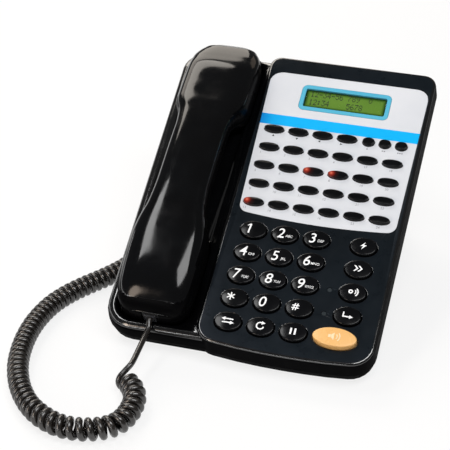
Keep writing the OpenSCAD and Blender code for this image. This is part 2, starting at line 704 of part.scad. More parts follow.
module socket_cut() {
    translate([-handset_x, mouth_end + 2, socket_h])
        cube([socket_outer.x + 0.2, 6, socket_outer.y + 0.2], center = true);
}

module handset_back() {
    color(black) on_slope() difference() {
        union() {
            difference() {
                handset_half(0, true);
                handset_half(shell_t, true);
            }
            translate([-handset_x, handset_screw_places[0], -4.4]) cylinder(r = 3.2, h = 16, $fn = 32);
            translate([-handset_x, handset_screw_places[1], -4.4]) cylinder(r = 3.2, h = 26.5, $fn = 32);
            for (y = weight_ribs) translate([-handset_x - 7, y - 0.8, weight_h + weight_t])
                cube([14, 1.6, back_top - 1.6 - weight_h - weight_t]);
        }
        socket_cut();
        for (y = handset_screw_places) translate([-handset_x, y, -5]) cylinder(r = screw_r, h = 9, $fn = 24);
    }
}

module handset_front() {
    color(black) on_slope() difference() {
        union() {
            difference() {
                handset_half(0, false);
                handset_half(shell_t, false);
            }
            translate([-handset_x, receiver_y, -block_bottom + 1]) difference() {
                cylinder(r = 14, h = receiver_h + block_bottom - 1, $fn = 48);
                translate([0, 0, -cut]) cylinder(r = 11.5, h = 12, $fn = 48);
            }
            translate([-handset_x, transmitter_y, -block_bottom + 1]) cylinder(r = transmitter_r + 1.6, h = 5, $fn = 40);
            for (y = handset_screw_places) translate([-handset_x, y, -block_bottom + 1.2]) cylinder(r = 4.4, h = 4, $fn = 32);
            for (y = weight_ribs) translate([-handset_x - 9, y - 0.8, grip_bottom + 1]) cube([18, 1.6, weight_h - grip_bottom - 1]);
        }
        socket_cut();
        for (y = handset_screw_places) translate([-handset_x, y, -block_bottom - cut]) {
            cylinder(r = screw_r + 0.2, h = 12, $fn = 24);
            cylinder(r = screw_head_r + 0.2, h = 3.2 + cut, $fn = 32);
        }
        translate([-handset_x, receiver_y, -block_bottom - cut]) {
            cylinder(r = 1.2, h = 4, $fn = 20);
            for (i = [0:5]) rotate([0, 0, 60 * i]) translate([5, 0, 0]) cylinder(r = 1.2, h = 4, $fn = 20);
        }
        translate([-handset_x, transmitter_y, -block_bottom - cut]) {
            translate([0, 0, cut + 2.2]) cylinder(r = transmitter_r + 0.1, h = 12, $fn = 40);
            for (i = [-1:1]) translate([3 * i, 0, 0]) cylinder(r = 0.8, h = 4, $fn = 16);
        }
    }
}

module receiver() {
    color("#33353a") on_handset(receiver_y, receiver_h) {
        cylinder(r = receiver_r, h = 4, $fn = 64);
        translate([0, 0, 3]) cylinder(r = receiver_r - 5, h = 4.5, $fn = 64);
    }
}

module transmitter() {
    color("#33353a") on_handset(transmitter_y, -block_bottom + 2.2) cylinder(r = transmitter_r, h = 5.4, $fn = 40);
}

module handset_weight() {
    color("silver") on_handset(0, weight_h) slab(rounded(box_corners(weight_w, weight_l, 2, 0, -44), 3), 0, weight_t);
}

module handset_screws() {
    color("silver") for (y = handset_screw_places) on_handset(y, -block_bottom + 1.2) {
        cylinder(r = screw_head_r, h = 2, $fn = 32);
        translate([0, 0, 1]) cylinder(r = screw_r - 0.05, h = 9.4, $fn = 24);
    }
}

module handset_socket() {
    color("#26272a") on_handset(mouth_end, socket_h) difference() {
        union() {
            translate([-socket_outer.x / 2, 0, -socket_outer.y / 2]) cube([socket_outer.x, socket_l, socket_outer.y]);
            translate([-7.2, 3.7, -5.2]) cube([14.4, 1.5, 10.8]);
        }
        translate([-plug_w / 2 - plug_gap, -cut, -plug_h / 2 - plug_gap])
            cube([plug_w + 2 * plug_gap, socket_l - 1.5 + cut, plug_h + 2 * plug_gap]);
    }
}

// A modular plug: a clear body with a step where it meets the cord and a latch above
module plug() {
    color("#d8d8d2", 0.6) {
        translate([-plug_w / 2, -plug_out, -plug_h / 2]) cube([plug_w, 12, plug_h - 1.2]);
        translate([-plug_w / 2, -plug_out, -plug_h / 2]) cube([plug_w, 6, plug_h]);
    }
}

module plug_handset() {
    on_handset(mouth_end, socket_h) plug();
}

module plug_base() {
    translate([handset_jack_x, handset_jack_y, jack_z]) rotate([0, 0, -90]) plug();
}

// Centre line of the curls on the table, from the handset's end to the jack's
coil_h = curl_d / 2 + 0.1;
coil_r = (curl_d - cord_d) / 2;
coil_route = [[-56.4, -133.8], [-49.2, -141.1], [-44.9, -150.3], [-44.4, -162.0], [-47.2, -171.6],
    [-52.8, -177.6], [-60.6, -181.4], [-69.9, -183.3], [-80.2, -182.6], [-91.6, -178.0], [-103.0, -169.4],
    [-113.2, -156.6], [-120.8, -141.4], [-125.2, -126.2], [-127.5, -109.6], [-127.2, -92.9], [-123.9, -76.6],
    [-117.6, -62.7], [-109.8, -51.0], [-102.2, -41.0], [-95.2, -30.4], [-89.4, -18.6], [-85.4, -5.6],
    [-83.2, 8.4], [-82.4, 24], [-82.4, 34], [-82.4, 44.2]];

// A round curve through the points, n steps to a stretch
function curve(p, n) = let (m = len(p) - 1) concat([for (i = [0:m - 1]) let (a = p[max(i - 1, 0)], b = p[i],
    c = p[i + 1], d = p[min(i + 2, m)]) for (k = [0:n - 1]) let (t = k / n)
    0.5 * (2 * b + (c - a) * t + (2 * a - 5 * b + 4 * c - d) * t * t + (3 * b - a - 3 * c + d) * t * t * t)], [p[m]]);

function run(p, i = 0, s = 0) = i >= len(p) ? [] :
    concat([s], run(p, i + 1, s + (i < len(p) - 1 ? norm(p[i + 1] - p[i]) : 0)));

coil_axis = curve(coil_route, 5);
coil_run = run(coil_axis);
coil_length = coil_run[len(coil_run) - 1];
run_x = [for (i = [0:len(coil_run) - 1]) [coil_run[i], coil_axis[i].x]];
run_y = [for (i = [0:len(coil_run) - 1]) [coil_run[i], coil_axis[i].y]];
function at_run(s) = [lookup(s, run_x), lookup(s, run_y)];
function heading(s) = unit(at_run(min(s + 2, coil_length)) - at_run(max(s - 2, 0)));

rings_a_curl = 8;
start_turn = 110;
all_turns = curls + (90 - start_turn) / 360;
close_pitch = (coil_length - open_pitch * open_curls) / (all_turns - open_curls);
function run_at(t) = t < open_curls ? open_pitch * t : open_pitch * open_curls + close_pitch * (t - open_curls);

function wound(i) = let (t = min(i / rings_a_curl, all_turns), s = run_at(t), c = at_run(s), n = left(heading(s)),
    a = start_turn + 360 * t) [c.x + coil_r * cos(a) * n.x, c.y + coil_r * cos(a) * n.y, coil_h + coil_r * sin(a)];

last_ring = floor(all_turns * rings_a_curl);
coil_rings = concat([for (i = [0:last_ring]) wound(i)],
    all_turns * rings_a_curl > last_ring + 0.3 ? [wound(all_turns * rings_a_curl)] : []);

// The way the cord runs where the winding starts and stops
function way(t) = let (d = 0.02) unit(wound((t + d) * rings_a_curl) - wound((t - d) * rings_a_curl));
start_way = unit(wound(0.3) - wound(0));
end_way = unit(wound(all_turns * rings_a_curl) - wound(all_turns * rings_a_curl - 0.3));
coil_start = coil_rings[0] - start_way * cord_d;
coil_end = coil_rings[len(coil_rings) - 1] + end_way * cord_d;
coil_path = concat([coil_start], coil_rings, [coil_end]);

function beside(path, i) = let (m = len(path) - 1, a = path[max(i - 1, 0)], b = path[i], c = path[min(i + 1, m)],
    k = 2 * b - a - c) norm(k) > 0.05 ? k : (abs(unit(c - a).z) > 0.9 ? [1, 0, 0] : [0, 0, 1]);

coil_gap = min([for (i = [1:len(coil_path) - 13]) for (k = [5:11]) norm(coil_path[i] - coil_path[i + k])]) - cord_d;
echo(coil_gap = coil_gap, coil_length = coil_length, close_pitch = close_pitch);
echo(cord_length = run(coil_path)[len(coil_path) - 1]);

module cord_coil() {
    out = [for (i = [0:len(coil_path) - 1]) beside(coil_path, i < 1 ? 2 : (i > len(coil_path) - 2 ? i - 2 : i))];
    color("#1c1917") loft(tube(coil_path, cord_d / 2, 6, out));
}

// From the slope to the table frame
function to_table(p) = [p.x, slope_y + p.y * cos(slope) - p.z * sin(slope), slope_z + p.y * sin(slope) + p.z * cos(slope)];
lead_sides = 8;
lead_gap = 0.35;
handset_exit = to_table([-handset_x, mouth_end - plug_out - lead_gap, socket_h]);
handset_way = to_table([-handset_x, mouth_end - plug_out - lead_gap - 1, socket_h]) - handset_exit;
lead_bends = [to_table([-handset_x + 0.6, -156.6, 0.1]), [-52.8, -106.5, 18.2], [-53.2, -115.5, 16.4], [-53.7, -124.5, 14.6]];
handset_lead = curve(concat([handset_exit, handset_exit + handset_way * 3], lead_bends,
    [coil_start - start_way * 4, coil_start - start_way * lead_gap]), 2);

base_exit = [handset_jack_x - plug_out - lead_gap, handset_jack_y, jack_z];
base_lead = curve([coil_end + end_way * lead_gap, coil_end + end_way * 3, base_exit - [3.6, 0, 0], base_exit], 2);

function turned_up(path) = [for (p = path) [0, 0, 1]];

module cord_lead_handset() {
    color("#1c1917") loft(tube(handset_lead, cord_d / 2, lead_sides, turned_up(handset_lead)));
}

module cord_lead_base() {
    color("#1c1917") loft(tube(base_lead, cord_d / 2, lead_sides, turned_up(base_lead)));
}

echo(handset_lead = handset_lead);
echo(base_lead = base_lead);

upper_housing();
lower_housing();
rubber_feet();
base_screws();
face_panel();
display_surround();
display_window();
display_panel();
display_holder();
main_board();
line_key_mat();
dial_key_mat();
line_lamps();
indicator_lamps();
speaker();
hook_plunger();
hook_spring();
hook_board();
hook_switch();
handset_jack();
line_jack();
line_row(0);  // select_keys
option_keys();
for (r = [0:3]) line_row(r + 1);
for (i = [0:14]) dial_key(i);
for (i = [0:3]) side_key(i);
key_handsfree();
handset_back();
handset_front();
receiver();
transmitter();
handset_weight();
handset_screws();
handset_socket();
plug_handset();
plug_base();
cord_lead_handset();
cord_coil();
cord_lead_base();
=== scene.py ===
import math

import bpy
import numpy as np
from mathutils import Matrix, Vector


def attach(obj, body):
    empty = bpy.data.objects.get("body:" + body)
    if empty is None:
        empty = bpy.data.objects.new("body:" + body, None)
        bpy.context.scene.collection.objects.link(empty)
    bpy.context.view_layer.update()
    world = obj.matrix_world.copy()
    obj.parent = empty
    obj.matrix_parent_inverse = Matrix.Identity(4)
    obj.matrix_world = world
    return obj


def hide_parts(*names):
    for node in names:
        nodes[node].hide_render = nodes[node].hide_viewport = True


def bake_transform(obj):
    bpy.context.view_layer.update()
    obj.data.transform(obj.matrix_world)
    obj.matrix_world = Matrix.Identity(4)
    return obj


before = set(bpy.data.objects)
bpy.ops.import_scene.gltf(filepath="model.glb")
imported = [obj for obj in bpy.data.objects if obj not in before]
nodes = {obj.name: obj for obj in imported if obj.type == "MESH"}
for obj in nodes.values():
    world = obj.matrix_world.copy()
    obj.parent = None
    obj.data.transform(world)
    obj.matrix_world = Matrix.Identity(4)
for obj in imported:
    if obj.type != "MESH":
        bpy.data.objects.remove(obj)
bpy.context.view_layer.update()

MM = 0.001
SLOPE = math.radians(24.5)
FACE_Y = 42.623
FACE_Z = 84.863
BODY_RIGHT = 85.65
CONSOLE_LEFT = BODY_RIGHT - 112.6
CONSOLE_MID = (BODY_RIGHT + CONSOLE_LEFT) / 2
HANDSET_X = -53.0
PANEL_H, RECESS_H = -0.2, -0.8  # heights of the panel's print and of the floor it lies on
BAND_V = (3.8, 12.0)  # the blue band's lower and upper edge
CELL_V, CELL_HALF = 28.7, (26.7, 7.15)  # the display cell's middle and half size
CELL_H, CELL_BACK = -1.3, -1.5  # heights of the display cell's front and back
WINDOW_LOW, WINDOW_HIGH = -1.25, -0.6
WHITE = (1, 1, 1, 1)


def on_face(x, v, w):
    """A point of the sloping face in metres, from millimetres across it, up its slope and out of it."""
    return Vector((x, FACE_Y + v * math.cos(SLOPE) - w * math.sin(SLOPE),
                   FACE_Z + v * math.sin(SLOPE) + w * math.cos(SLOPE))) * MM


FACE = Matrix.Translation(Vector((0, FACE_Y, FACE_Z)) * MM) @ Matrix.Rotation(SLOPE, 4, "X")


def linear(code):
    """An sRGB hex colour as the linear values that Blender's sockets take, opaque."""
    parts = [int(code[i:i + 2], 16) / 255 for i in (1, 3, 5)]
    return [c / 12.92 if c <= 0.04045 else ((c + 0.055) / 1.055) ** 2.4 for c in parts] + [1.0]


def feed(tree, node, sockets):
    """Gives a node's sockets their values and their links."""
    for name, value in sockets.items():
        if isinstance(value, bpy.types.NodeSocket):
            tree.links.new(value, node.inputs[name])
        else:
            node.inputs[name].default_value = value


def add(tree, kind, sockets=None, **settings):
    """One shader node, with its settings, its values and its links."""
    made = tree.nodes.new(kind)
    for name, value in settings.items():
        setattr(made, name, value)
    feed(tree, made, sockets or {})
    return made


def found(tree, kind):
    """The tree's one node of a kind."""
    return next(n for n in tree.nodes if n.type == kind)


def new_finish(name):
    """A new material, its node tree and its principled shader."""
    material = bpy.data.materials.new(name)
    material.use_nodes = True
    tree = material.node_tree
    tree.nodes.clear()
    shader = add(tree, "ShaderNodeBsdfPrincipled")
    add(tree, "ShaderNodeOutputMaterial", {0: shader.outputs[0]})
    return material, tree, shader


def object_place(tree):
    """Coordinates that ride with the object."""
    return add(tree, "ShaderNodeTexCoord").outputs["Object"]


def noise(tree, place, size, detail):
    """Noise with features about so many millimetres wide."""
    made = add(tree, "ShaderNodeTexNoise", {"Vector": place, "Scale": 1 / (size * MM), "Detail": detail})
    return made.outputs["Fac"]


def mapped(tree, value, start, end, low=0.0, high=1.0):
    """A value between start and end, taken to between low and high."""
    ends = {"From Min": start, "From Max": end, "To Min": low, "To Max": high}
    return add(tree, "ShaderNodeMapRange", {"Value": value, **ends}).outputs["Result"]


def maths(tree, operation, a, b=0.0):
    """The result of one operation on one or two values."""
    return add(tree, "ShaderNodeMath", {0: a, 1: b}, operation=operation).outputs[0]


def mixed(tree, factor, a, b, way="MIX"):
    """Two colours laid over each other."""
    made = add(tree, "ShaderNodeMix", {"Factor": factor, "A": a, "B": b}, data_type="RGBA", blend_type=way)
    return made.outputs["Result"]


def grained(tree, place, size, depth):
    """The normal of a fine skin, its grains so wide and so deep in millimetres."""
    height = noise(tree, place, size, 2.0)
    return add(tree, "ShaderNodeBump", {"Height": height, "Distance": depth * MM, "Strength": 1.0}).outputs["Normal"]


def ramp(tree, factor, stops):
    """A colour ramp; each stop is its position and a hex colour or linear values."""
    made = add(tree, "ShaderNodeValToRGB", {"Fac": factor})
    stops = [(position, linear(colour) if isinstance(colour, str) else colour) for position, colour in stops]
    elements = made.color_ramp.elements
    elements[0].position, elements[0].color = stops[0]
    elements[1].position, elements[1].color = stops[-1]
    for position, colour in stops[1:-1]:
        elements.new(position).color = colour
    return made.outputs["Color"]


def moulded(name, colour, deep, rough, rough_span, grain_mm, grain_depth, shine=0.5, ior=1.53, tint="#FFFFFF"):
    """A moulded plastic or rubber: a colour that drifts a little, a roughness that drifts too, and a fine skin."""
    material, tree, shader = new_finish(name)
    place = object_place(tree)
    feed(tree, shader, {
        "Base Color": ramp(tree, noise(tree, place, 38, 3.0), [(0.35, colour), (0.65, deep)]),
        "Roughness": mapped(tree, noise(tree, place, 9, 4.0), 0.3, 0.7, rough - rough_span, rough + rough_span),
        "Normal": grained(tree, place, grain_mm, grain_depth),
        "IOR": ior, "Specular IOR Level": shine, "Specular Tint": linear(tint)})
    return material


# Polished black ABS: near-black with sharp, slightly wavy reflections
gloss_abs = moulded("polished_black_abs", "#050506", "#07080A", 0.1, 0.03, 13.0, 0.045, 0.3)
# A lit copy of the housing's plastic, reflecting far more strongly, goes on the upper housing's rounded rims, its deck
# and its wells: a painted highlight, so the rims draw the brightest lines
rim_lit_copy_abs = moulded("black_abs_lit_copy", "#050506", "#07080A", 0.12, 0.03, 13.0, 0.03, 1.0)
# A shaded copy of the same plastic, darker and hardly reflecting, goes on the housings' walls: painted shade, so they
# stay dark above a bright table
black_abs = moulded("black_abs_shaded_copy", "#030304", "#050506", 0.5, 0.05, 2.0, 0.02, ior=1.05)
# The handset's front shell is satin; the same nearly unreflecting copy goes on the back shell's upright walls as
# painted shade
satin_and_shaded_abs = moulded("satin_and_shaded_black_abs", "#040405", "#060607", 0.3, 0.05, 2.0, 0.02, ior=1.08)
# The console's top has a fine spark texture that spreads its reflections, cool grey
console_abs = moulded("spark_textured_black_abs", "#0C1115", "#10161B", 0.3, 0.04, 0.9, 0.02, 0.15, tint="#E0ECFF")
# Key caps are moulded black and lightly polished
KEY_LOOK = ("#07080A", "#0A0B0E", 0.17, 0.04, 5.0, 0.01, 0.19)
key_abs = moulded("moulded_black_key_abs", *KEY_LOOK)
# Translucent amber ABS, soft gloss
amber_abs = moulded("amber_key_abs", "#F2C07C", "#EEB870", 0.28, 0.05, 3.0, 0.01)
turquoise_abs = moulded("turquoise_abs", "#5CB8D6", "#52B0D0", 0.3, 0.04, 3.0, 0.01, 0.2)
grey_abs = moulded("pale_grey_abs", "#CFCFCA", "#C6C6C1", 0.45, 0.05, 1.5, 0.02)
foot_rubber = moulded("black_rubber", "#101010", "#161616", 0.75, 0.06, 0.8, 0.05)
mat_rubber = moulded("grey_silicone_rubber", "#C4C4BE", "#BCBCB6", 0.6, 0.05, 1.2, 0.02)
jack_nylon = moulded("black_nylon", "#17181A", "#1D1E21", 0.45, 0.05, 1.5, 0.015)
smoked_lens = moulded("smoked_lens", "#2A3034", "#343B3F", 0.12, 0.03, 2.0, 0.005)
red_lens = moulded("red_lens", "#B3261E", "#C5342A", 0.25, 0.04, 2.0, 0.01)
# Glossy vinyl sheath: very dark brown-black with broad soft highlights
cord_vinyl = moulded("glossy_cord_vinyl", "#171412", "#201C19", 0.27, 0.05, 2.2, 0.03, 0.8)
plug_acrylic = moulded("smoked_plug_polycarbonate", "#26272A", "#303236", 0.15, 0.03, 2.0, 0.005)
cone_paper = moulded("pressed_cone_paper", "#1C1C1D", "#232324", 0.8, 0.06, 0.7, 0.06)
capsule_abs = moulded("capsule_abs", "#202226", "#26282C", 0.4, 0.05, 1.5, 0.02)


def metal(name, colour, rough):
    """Plated steel: metallic, with fine drawn lines."""
    material, tree, shader = new_finish(name)
    drawn = add(tree, "ShaderNodeMapping", {"Vector": object_place(tree), "Scale": (1.0, 8.0, 1.0)})
    lines = noise(tree, drawn.outputs["Vector"], 1.2, 3.0)
    feed(tree, shader, {
        "Base Color": ramp(tree, lines, [(0.3, colour), (0.7, "#9A9DA0")]),
        "Roughness": mapped(tree, lines, 0.0, 1.0, rough - 0.08, rough + 0.08), "Metallic": 1.0})
    return material


zinc_steel = metal("zinc_plated_steel", "#B4B7BA", 0.35)
bare_steel = metal("bare_rolled_steel", "#8A8C8F", 0.45)
spring_wire = metal("bright_spring_wire", "#C4C6C8", 0.25)


def board_finish():
    """Green solder mask over copper tracks, on glass and epoxy."""
    material, tree, shader = new_finish("green_solder_mask")
    tracks = add(tree, "ShaderNodeTexBrick", {
        "Vector": object_place(tree), "Scale": 1 / (9 * MM), "Mortar Size": 0.03,
        "Color1": linear("#1E4D27"), "Color2": linear("#235A2D"), "Mortar": linear("#3A7A3E")})
    feed(tree, shader, {"Base Color": tracks.outputs["Color"], "Roughness": 0.35})
    return material


board_mask = board_finish()


def along_face(tree, place):
    """Object coordinates turned to the sloping face: across, up the slope and out of it."""
    flat = FACE.inverted()
    return add(tree, "ShaderNodeMapping", {
        "Vector": place, "Location": flat.to_translation(), "Rotation": flat.to_euler()}).outputs[0]


def panel_finish():
    """A printed sheet: pale grey, a saturated blue band right across it, and a light grain under a satin lacquer."""
    material, tree, shader = new_finish("printed_panel_sheet")
    place = object_place(tree)
    across, up, _ = add(tree, "ShaderNodeSeparateXYZ", {"Vector": along_face(tree, place)}).outputs
    above = maths(tree, "GREATER_THAN", up, BAND_V[0] * MM)
    below = maths(tree, "LESS_THAN", up, BAND_V[1] * MM)
    sheet = ramp(tree, noise(tree, place, 30, 3.0), [(0.3, "#D3D7DE"), (0.7, "#DBDEE4")])
    # The blue is darker towards its left end
    from_left = mapped(tree, across, (CONSOLE_MID - 53) * MM, (CONSOLE_MID - 33) * MM)
    blue = ramp(tree, from_left, [(0.0, "#007CD4"), (0.45, "#00A8F0"), (1.0, "#00B2F8")])
    feed(tree, shader, {
        "Base Color": mixed(tree, maths(tree, "MULTIPLY", above, below), sheet, blue),
        "Normal": grained(tree, place, 0.8, 0.01), "Roughness": 0.5, "Specular IOR Level": 0.12})
    return material


def flat_ink(name, colour, rough=0.5, glow=0.0):
    """Ink, with the faint unevenness of a print; a glow, where given, is painted light that brightens it though it is
    no lamp.
    """
    material, tree, shader = new_finish(name)
    thin = [c * 0.86 for c in linear(colour)[:3]] + [1.0]
    feed(tree, shader, {
        "Base Color": ramp(tree, noise(tree, object_place(tree), 1.5, 2.0), [(0.3, colour), (0.75, thin)]),
        "Roughness": rough, "Emission Color": linear(colour), "Emission Strength": glow})
    return material


panel_print = panel_finish()
# The white print gets a faint painted glow, though it is no lamp
white_ink_painted_glow = flat_ink("white_pad_print", "#F2F4F6", 0.45, 0.15)
grey_ink = flat_ink("grey_screen_print", "#8C8E96", 0.6)
black_ink = flat_ink("black_screen_print", "#2B2C31", 0.6)
pale_ink = flat_ink("pale_amber_print", "#FCE3B8", 0.5)


def lcd_finish():
    """A reflective liquid-crystal cell: olive green with its fine grid, painted darker along its border for its dark
    seal and for the frame's shadow.
    """
    material, tree, shader = new_finish("olive_lcd_cell")
    seat = along_face(tree, object_place(tree))
    shade = ramp(tree, noise(tree, seat, 25, 1.0), [(0.3, "#7BA63E"), (0.7, "#6C9836")])
    grid = add(tree, "ShaderNodeTexBrick", {
        "Vector": seat, "Scale": 1 / (0.7 * MM), "Mortar Size": 0.06,
        "Color1": WHITE, "Color2": (0.96, 0.96, 0.96, 1), "Mortar": (0.86, 0.9, 0.86, 1)})
    cell = mixed(tree, 1.0, shade, grid.outputs["Color"], "MULTIPLY")
    across, up, _ = add(tree, "ShaderNodeSeparateXYZ", {"Vector": seat}).outputs
    gaps = []
    for value, middle, half in ((across, CONSOLE_MID, CELL_HALF[0]), (up, CELL_V, CELL_HALF[1])):
        off = maths(tree, "ABSOLUTE", maths(tree, "SUBTRACT", value, middle * MM))
        gaps.append(maths(tree, "SUBTRACT", half * MM, off))
    # Painted darker towards the cell's edge: its dark seal and the frame's shadow on it
    border = mapped(tree, maths(tree, "MINIMUM", *gaps), 0.3 * MM, 2.6 * MM)
    depth = ramp(tree, border, [(0.0, "#23564E"), (0.22, "#5E8A4E"), (1.0, "#FFFFFF")])
    feed(tree, shader, {
        "Base Color": mixed(tree, 1.0, cell, depth, "MULTIPLY"), "Roughness": 0.4, "Specular IOR Level": 0.1})
    return material


lcd_cell = lcd_finish()
lcd_ink = flat_ink("dark_lcd_segment", "#0B1B07", 0.5)


def window_finish():
    """Clear acrylic: nearly invisible face on, with a sharp, faint reflection."""
    material, tree, shader = new_finish("clear_acrylic_window")
    haze = noise(tree, object_place(tree), 12, 2.0)
    feed(tree, shader, {
        "Base Color": linear("#2A3A2A"), "Roughness": mapped(tree, haze, 0.0, 1.0, 0.02, 0.07),
        "IOR": 1.49, "Alpha": 0.1})
    return material


window_acrylic = window_finish()


# ---------------------------------------------------------------- camera
scene = bpy.context.scene
scene.view_settings.view_transform = "Standard"
camera_data = bpy.data.cameras.new("camera")
camera_data.lens = 120.0
camera_data.sensor_width = 36.0
camera_data.clip_start = 0.01
camera_data.clip_end = 20.0
camera = bpy.data.objects.new("camera", camera_data)
scene.collection.objects.link(camera)
CAMERA_PLACE = (183.5, -776.7, 571.8)
CAMERA_RIGHT = Vector((0.9634, 0.2681, 0.0003))
CAMERA_UP = Vector((-0.149, 0.5346, 0.8319))
CAMERA_LOOK = Vector((-0.2229, 0.8014, -0.5550))
camera_turn = Matrix((CAMERA_RIGHT, CAMERA_UP, -CAMERA_LOOK)).transposed()
camera.matrix_world = Matrix.Translation(Vector(CAMERA_PLACE) * MM) @ camera_turn.to_4x4()
scene.camera = camera


def deselect():
    if bpy.context.mode != "OBJECT":
        bpy.ops.object.mode_set(mode="OBJECT")
    bpy.ops.object.select_all(action="DESELECT")


def pick(*objects):
    """Selects these objects alone, the first of them active."""
    deselect()
    for o in objects:
        o.select_set(True)
    bpy.context.view_layer.objects.active = objects[0]


def finished(o, name, material, body):
    """Names a piece, puts its place in its mesh, gives it its finish and lets it ride."""
    pick(o)
    bpy.ops.object.transform_apply(location=True, rotation=True, scale=True)
    o.name = name
    o.data.name = name
    o.data.materials.clear()
    o.data.materials.append(material)
    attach(o, body)
    return o


def apply(o, kind, **settings):
    """Adds one modifier and applies it."""
    pick(o)
    modifier = o.modifiers.new(kind.lower(), kind)
    for name, value in settings.items():
        setattr(modifier, name, value)
    bpy.ops.object.modifier_apply(modifier=modifier.name)


def recalculated(o):
    """Merges points that lie on each other and turns all faces outwards."""
    pick(o)
    bpy.ops.object.mode_set(mode="EDIT")
    bpy.ops.mesh.select_all(action="SELECT")
    bpy.ops.mesh.remove_doubles(threshold=0.00001)
    bpy.ops.mesh.normals_make_consistent(inside=False)
    bpy.ops.object.mode_set(mode="OBJECT")


# ---------------------------------------------------------------- handset cord
CORD_D = 3.6
CURL_D = 13.2
CURLS = 72
OPEN_PITCH = 5.5
OPEN_CURLS = 18
COIL_H = CURL_D / 2 + 0.1
COIL_R = (CURL_D - CORD_D) / 2
START_TURN = 110
STEPS_A_CURL = 24
OPEN_SWELL = 0.8
ALL_TURNS = CURLS + (90 - START_TURN) / 360
coil_route = [(-56.4, -133.8), (-49.2, -141.1), (-44.9, -150.3), (-44.4, -162.0), (-47.2, -171.6), (-52.8, -177.6),
              (-60.6, -181.4), (-69.9, -183.3), (-80.2, -182.6), (-91.6, -178.0), (-103.0, -169.4), (-113.2, -156.6),
              (-120.8, -141.4), (-125.2, -126.2), (-127.5, -109.6), (-127.2, -92.9), (-123.9, -76.6), (-117.6, -62.7),
              (-109.8, -51.0), (-102.2, -41.0), (-95.2, -30.4), (-89.4, -18.6), (-85.4, -5.6), (-83.2, 8.4),
              (-82.4, 24.0), (-82.4, 34.0), (-82.4, 44.2)]


def curve_through(points, steps):
    """A round curve through the points, with so many steps to a stretch."""
    points = [Vector(p) for p in points]
    last = len(points) - 1
    made = []
    for i in range(last):
        a, b, c, d = points[max(i - 1, 0)], points[i], points[i + 1], points[min(i + 2, last)]
        for k in range(steps):
            t = k / steps
            square, cube = 2 * a - 5 * b + 4 * c - d, 3 * b - a - 3 * c + d
            made.append(0.5 * (2 * b + (c - a) * t + square * t * t + cube * t ** 3))
    made.append(points[last])
    return made


axis = curve_through([(x, y, 0) for x, y in coil_route], 5)
along = [0.0]
for a, b in zip(axis, axis[1:]):
    along.append(along[-1] + (b - a).length)
coil_length = along[-1]
close_pitch = (coil_length - OPEN_PITCH * OPEN_CURLS) / (ALL_TURNS - OPEN_CURLS)


def axis_at(s):
    """The point of the coil's axis after so many millimetres."""
    s = min(max(s, 0.0), coil_length)
    i = 0
    while i < len(along) - 2 and along[i + 1] < s:
        i += 1
    return axis[i].lerp(axis[i + 1], (s - along[i]) / (along[i + 1] - along[i]))


def swell(t):
    """How much thicker the cord is drawn after t curls, in millimetres, as the photograph shows its open curls."""
    rise = min(max(t / 2, 0.0), 1.0) * min(max((OPEN_CURLS + 2 - t) / 4, 0.0), 1.0)
    return OPEN_SWELL * rise * rise * (3 - 2 * rise)


def wound(t):
    """The cord's middle after t curls."""
    s = OPEN_PITCH * t if t < OPEN_CURLS else OPEN_PITCH * OPEN_CURLS + close_pitch * (t - OPEN_CURLS)
    ahead = (axis_at(s + 2) - axis_at(s - 2)).normalized()
    side = Vector((-ahead.y, ahead.x, 0))
    a = math.radians(START_TURN + 360 * t)
    return axis_at(s) + side * (COIL_R * math.cos(a)) + Vector((0, 0, COIL_H + swell(t) / 2 + COIL_R * math.sin(a)))


winding = [wound(i / STEPS_A_CURL) for i in range(int(ALL_TURNS * STEPS_A_CURL) + 1)] + [wound(ALL_TURNS)]
SHORT_TURN = 0.0375
start_way = (wound(SHORT_TURN) - wound(0)).normalized()
end_way = (wound(ALL_TURNS) - wound(ALL_TURNS - SHORT_TURN)).normalized()
coil_start = winding[0] - start_way * CORD_D
coil_end = winding[-1] + end_way * CORD_D
MOUTH_END, PLUG_OUT, SOCKET_H = -149.0, 1.5, 0.8
handset_exit = on_face(HANDSET_X, MOUTH_END - PLUG_OUT, SOCKET_H) / MM
handset_way = on_face(HANDSET_X, MOUTH_END - PLUG_OUT - 1, SOCKET_H) / MM - handset_exit
over_rim = on_face(HANDSET_X + 0.6, -156.6, 0.1) / MM
handset_lead = curve_through([handset_exit, handset_exit + handset_way * 3, over_rim, (-52.8, -106.5, 18.2),
                              (-53.2, -115.5, 16.4), (-53.7, -124.5, 14.6), coil_start - start_way * 4, coil_start], 3)
JACK_X, JACK_Y, JACK_Z = -BODY_RIGHT + 20 + 1.2, 46.0, 9.6
base_exit = Vector((JACK_X - PLUG_OUT, JACK_Y, JACK_Z))
base_lead = curve_through([coil_end, coil_end + end_way * 3, base_exit - Vector((3.6, 0, 0)), base_exit], 3)
cord_line = [p * MM for p in handset_lead + winding + base_lead]

line = bpy.data.curves.new("handset_cord", "CURVE")
line.dimensions = "3D"
line.bevel_depth = CORD_D / 2 * MM
line.bevel_resolution = 3
line.use_fill_caps = True
strand = line.splines.new("POLY")
strand.points.add(len(cord_line) - 1)
for i, (point, p) in enumerate(zip(strand.points, cord_line)):
    point.co = (p.x, p.y, p.z, 1.0)
    point.radius = 1 + swell(min((i - len(handset_lead)) / STEPS_A_CURL, ALL_TURNS)) / CORD_D
cord = bpy.data.objects.new("handset_cord", line)
scene.collection.objects.link(cord)
pick(cord)
bpy.ops.object.convert(target="MESH")
cord = bpy.context.view_layer.objects.active
bpy.ops.object.shade_smooth()
cord.data.materials.clear()
cord.data.materials.append(cord_vinyl)
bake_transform(cord)
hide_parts("cord_lead_handset", "cord_coil", "cord_lead_base")


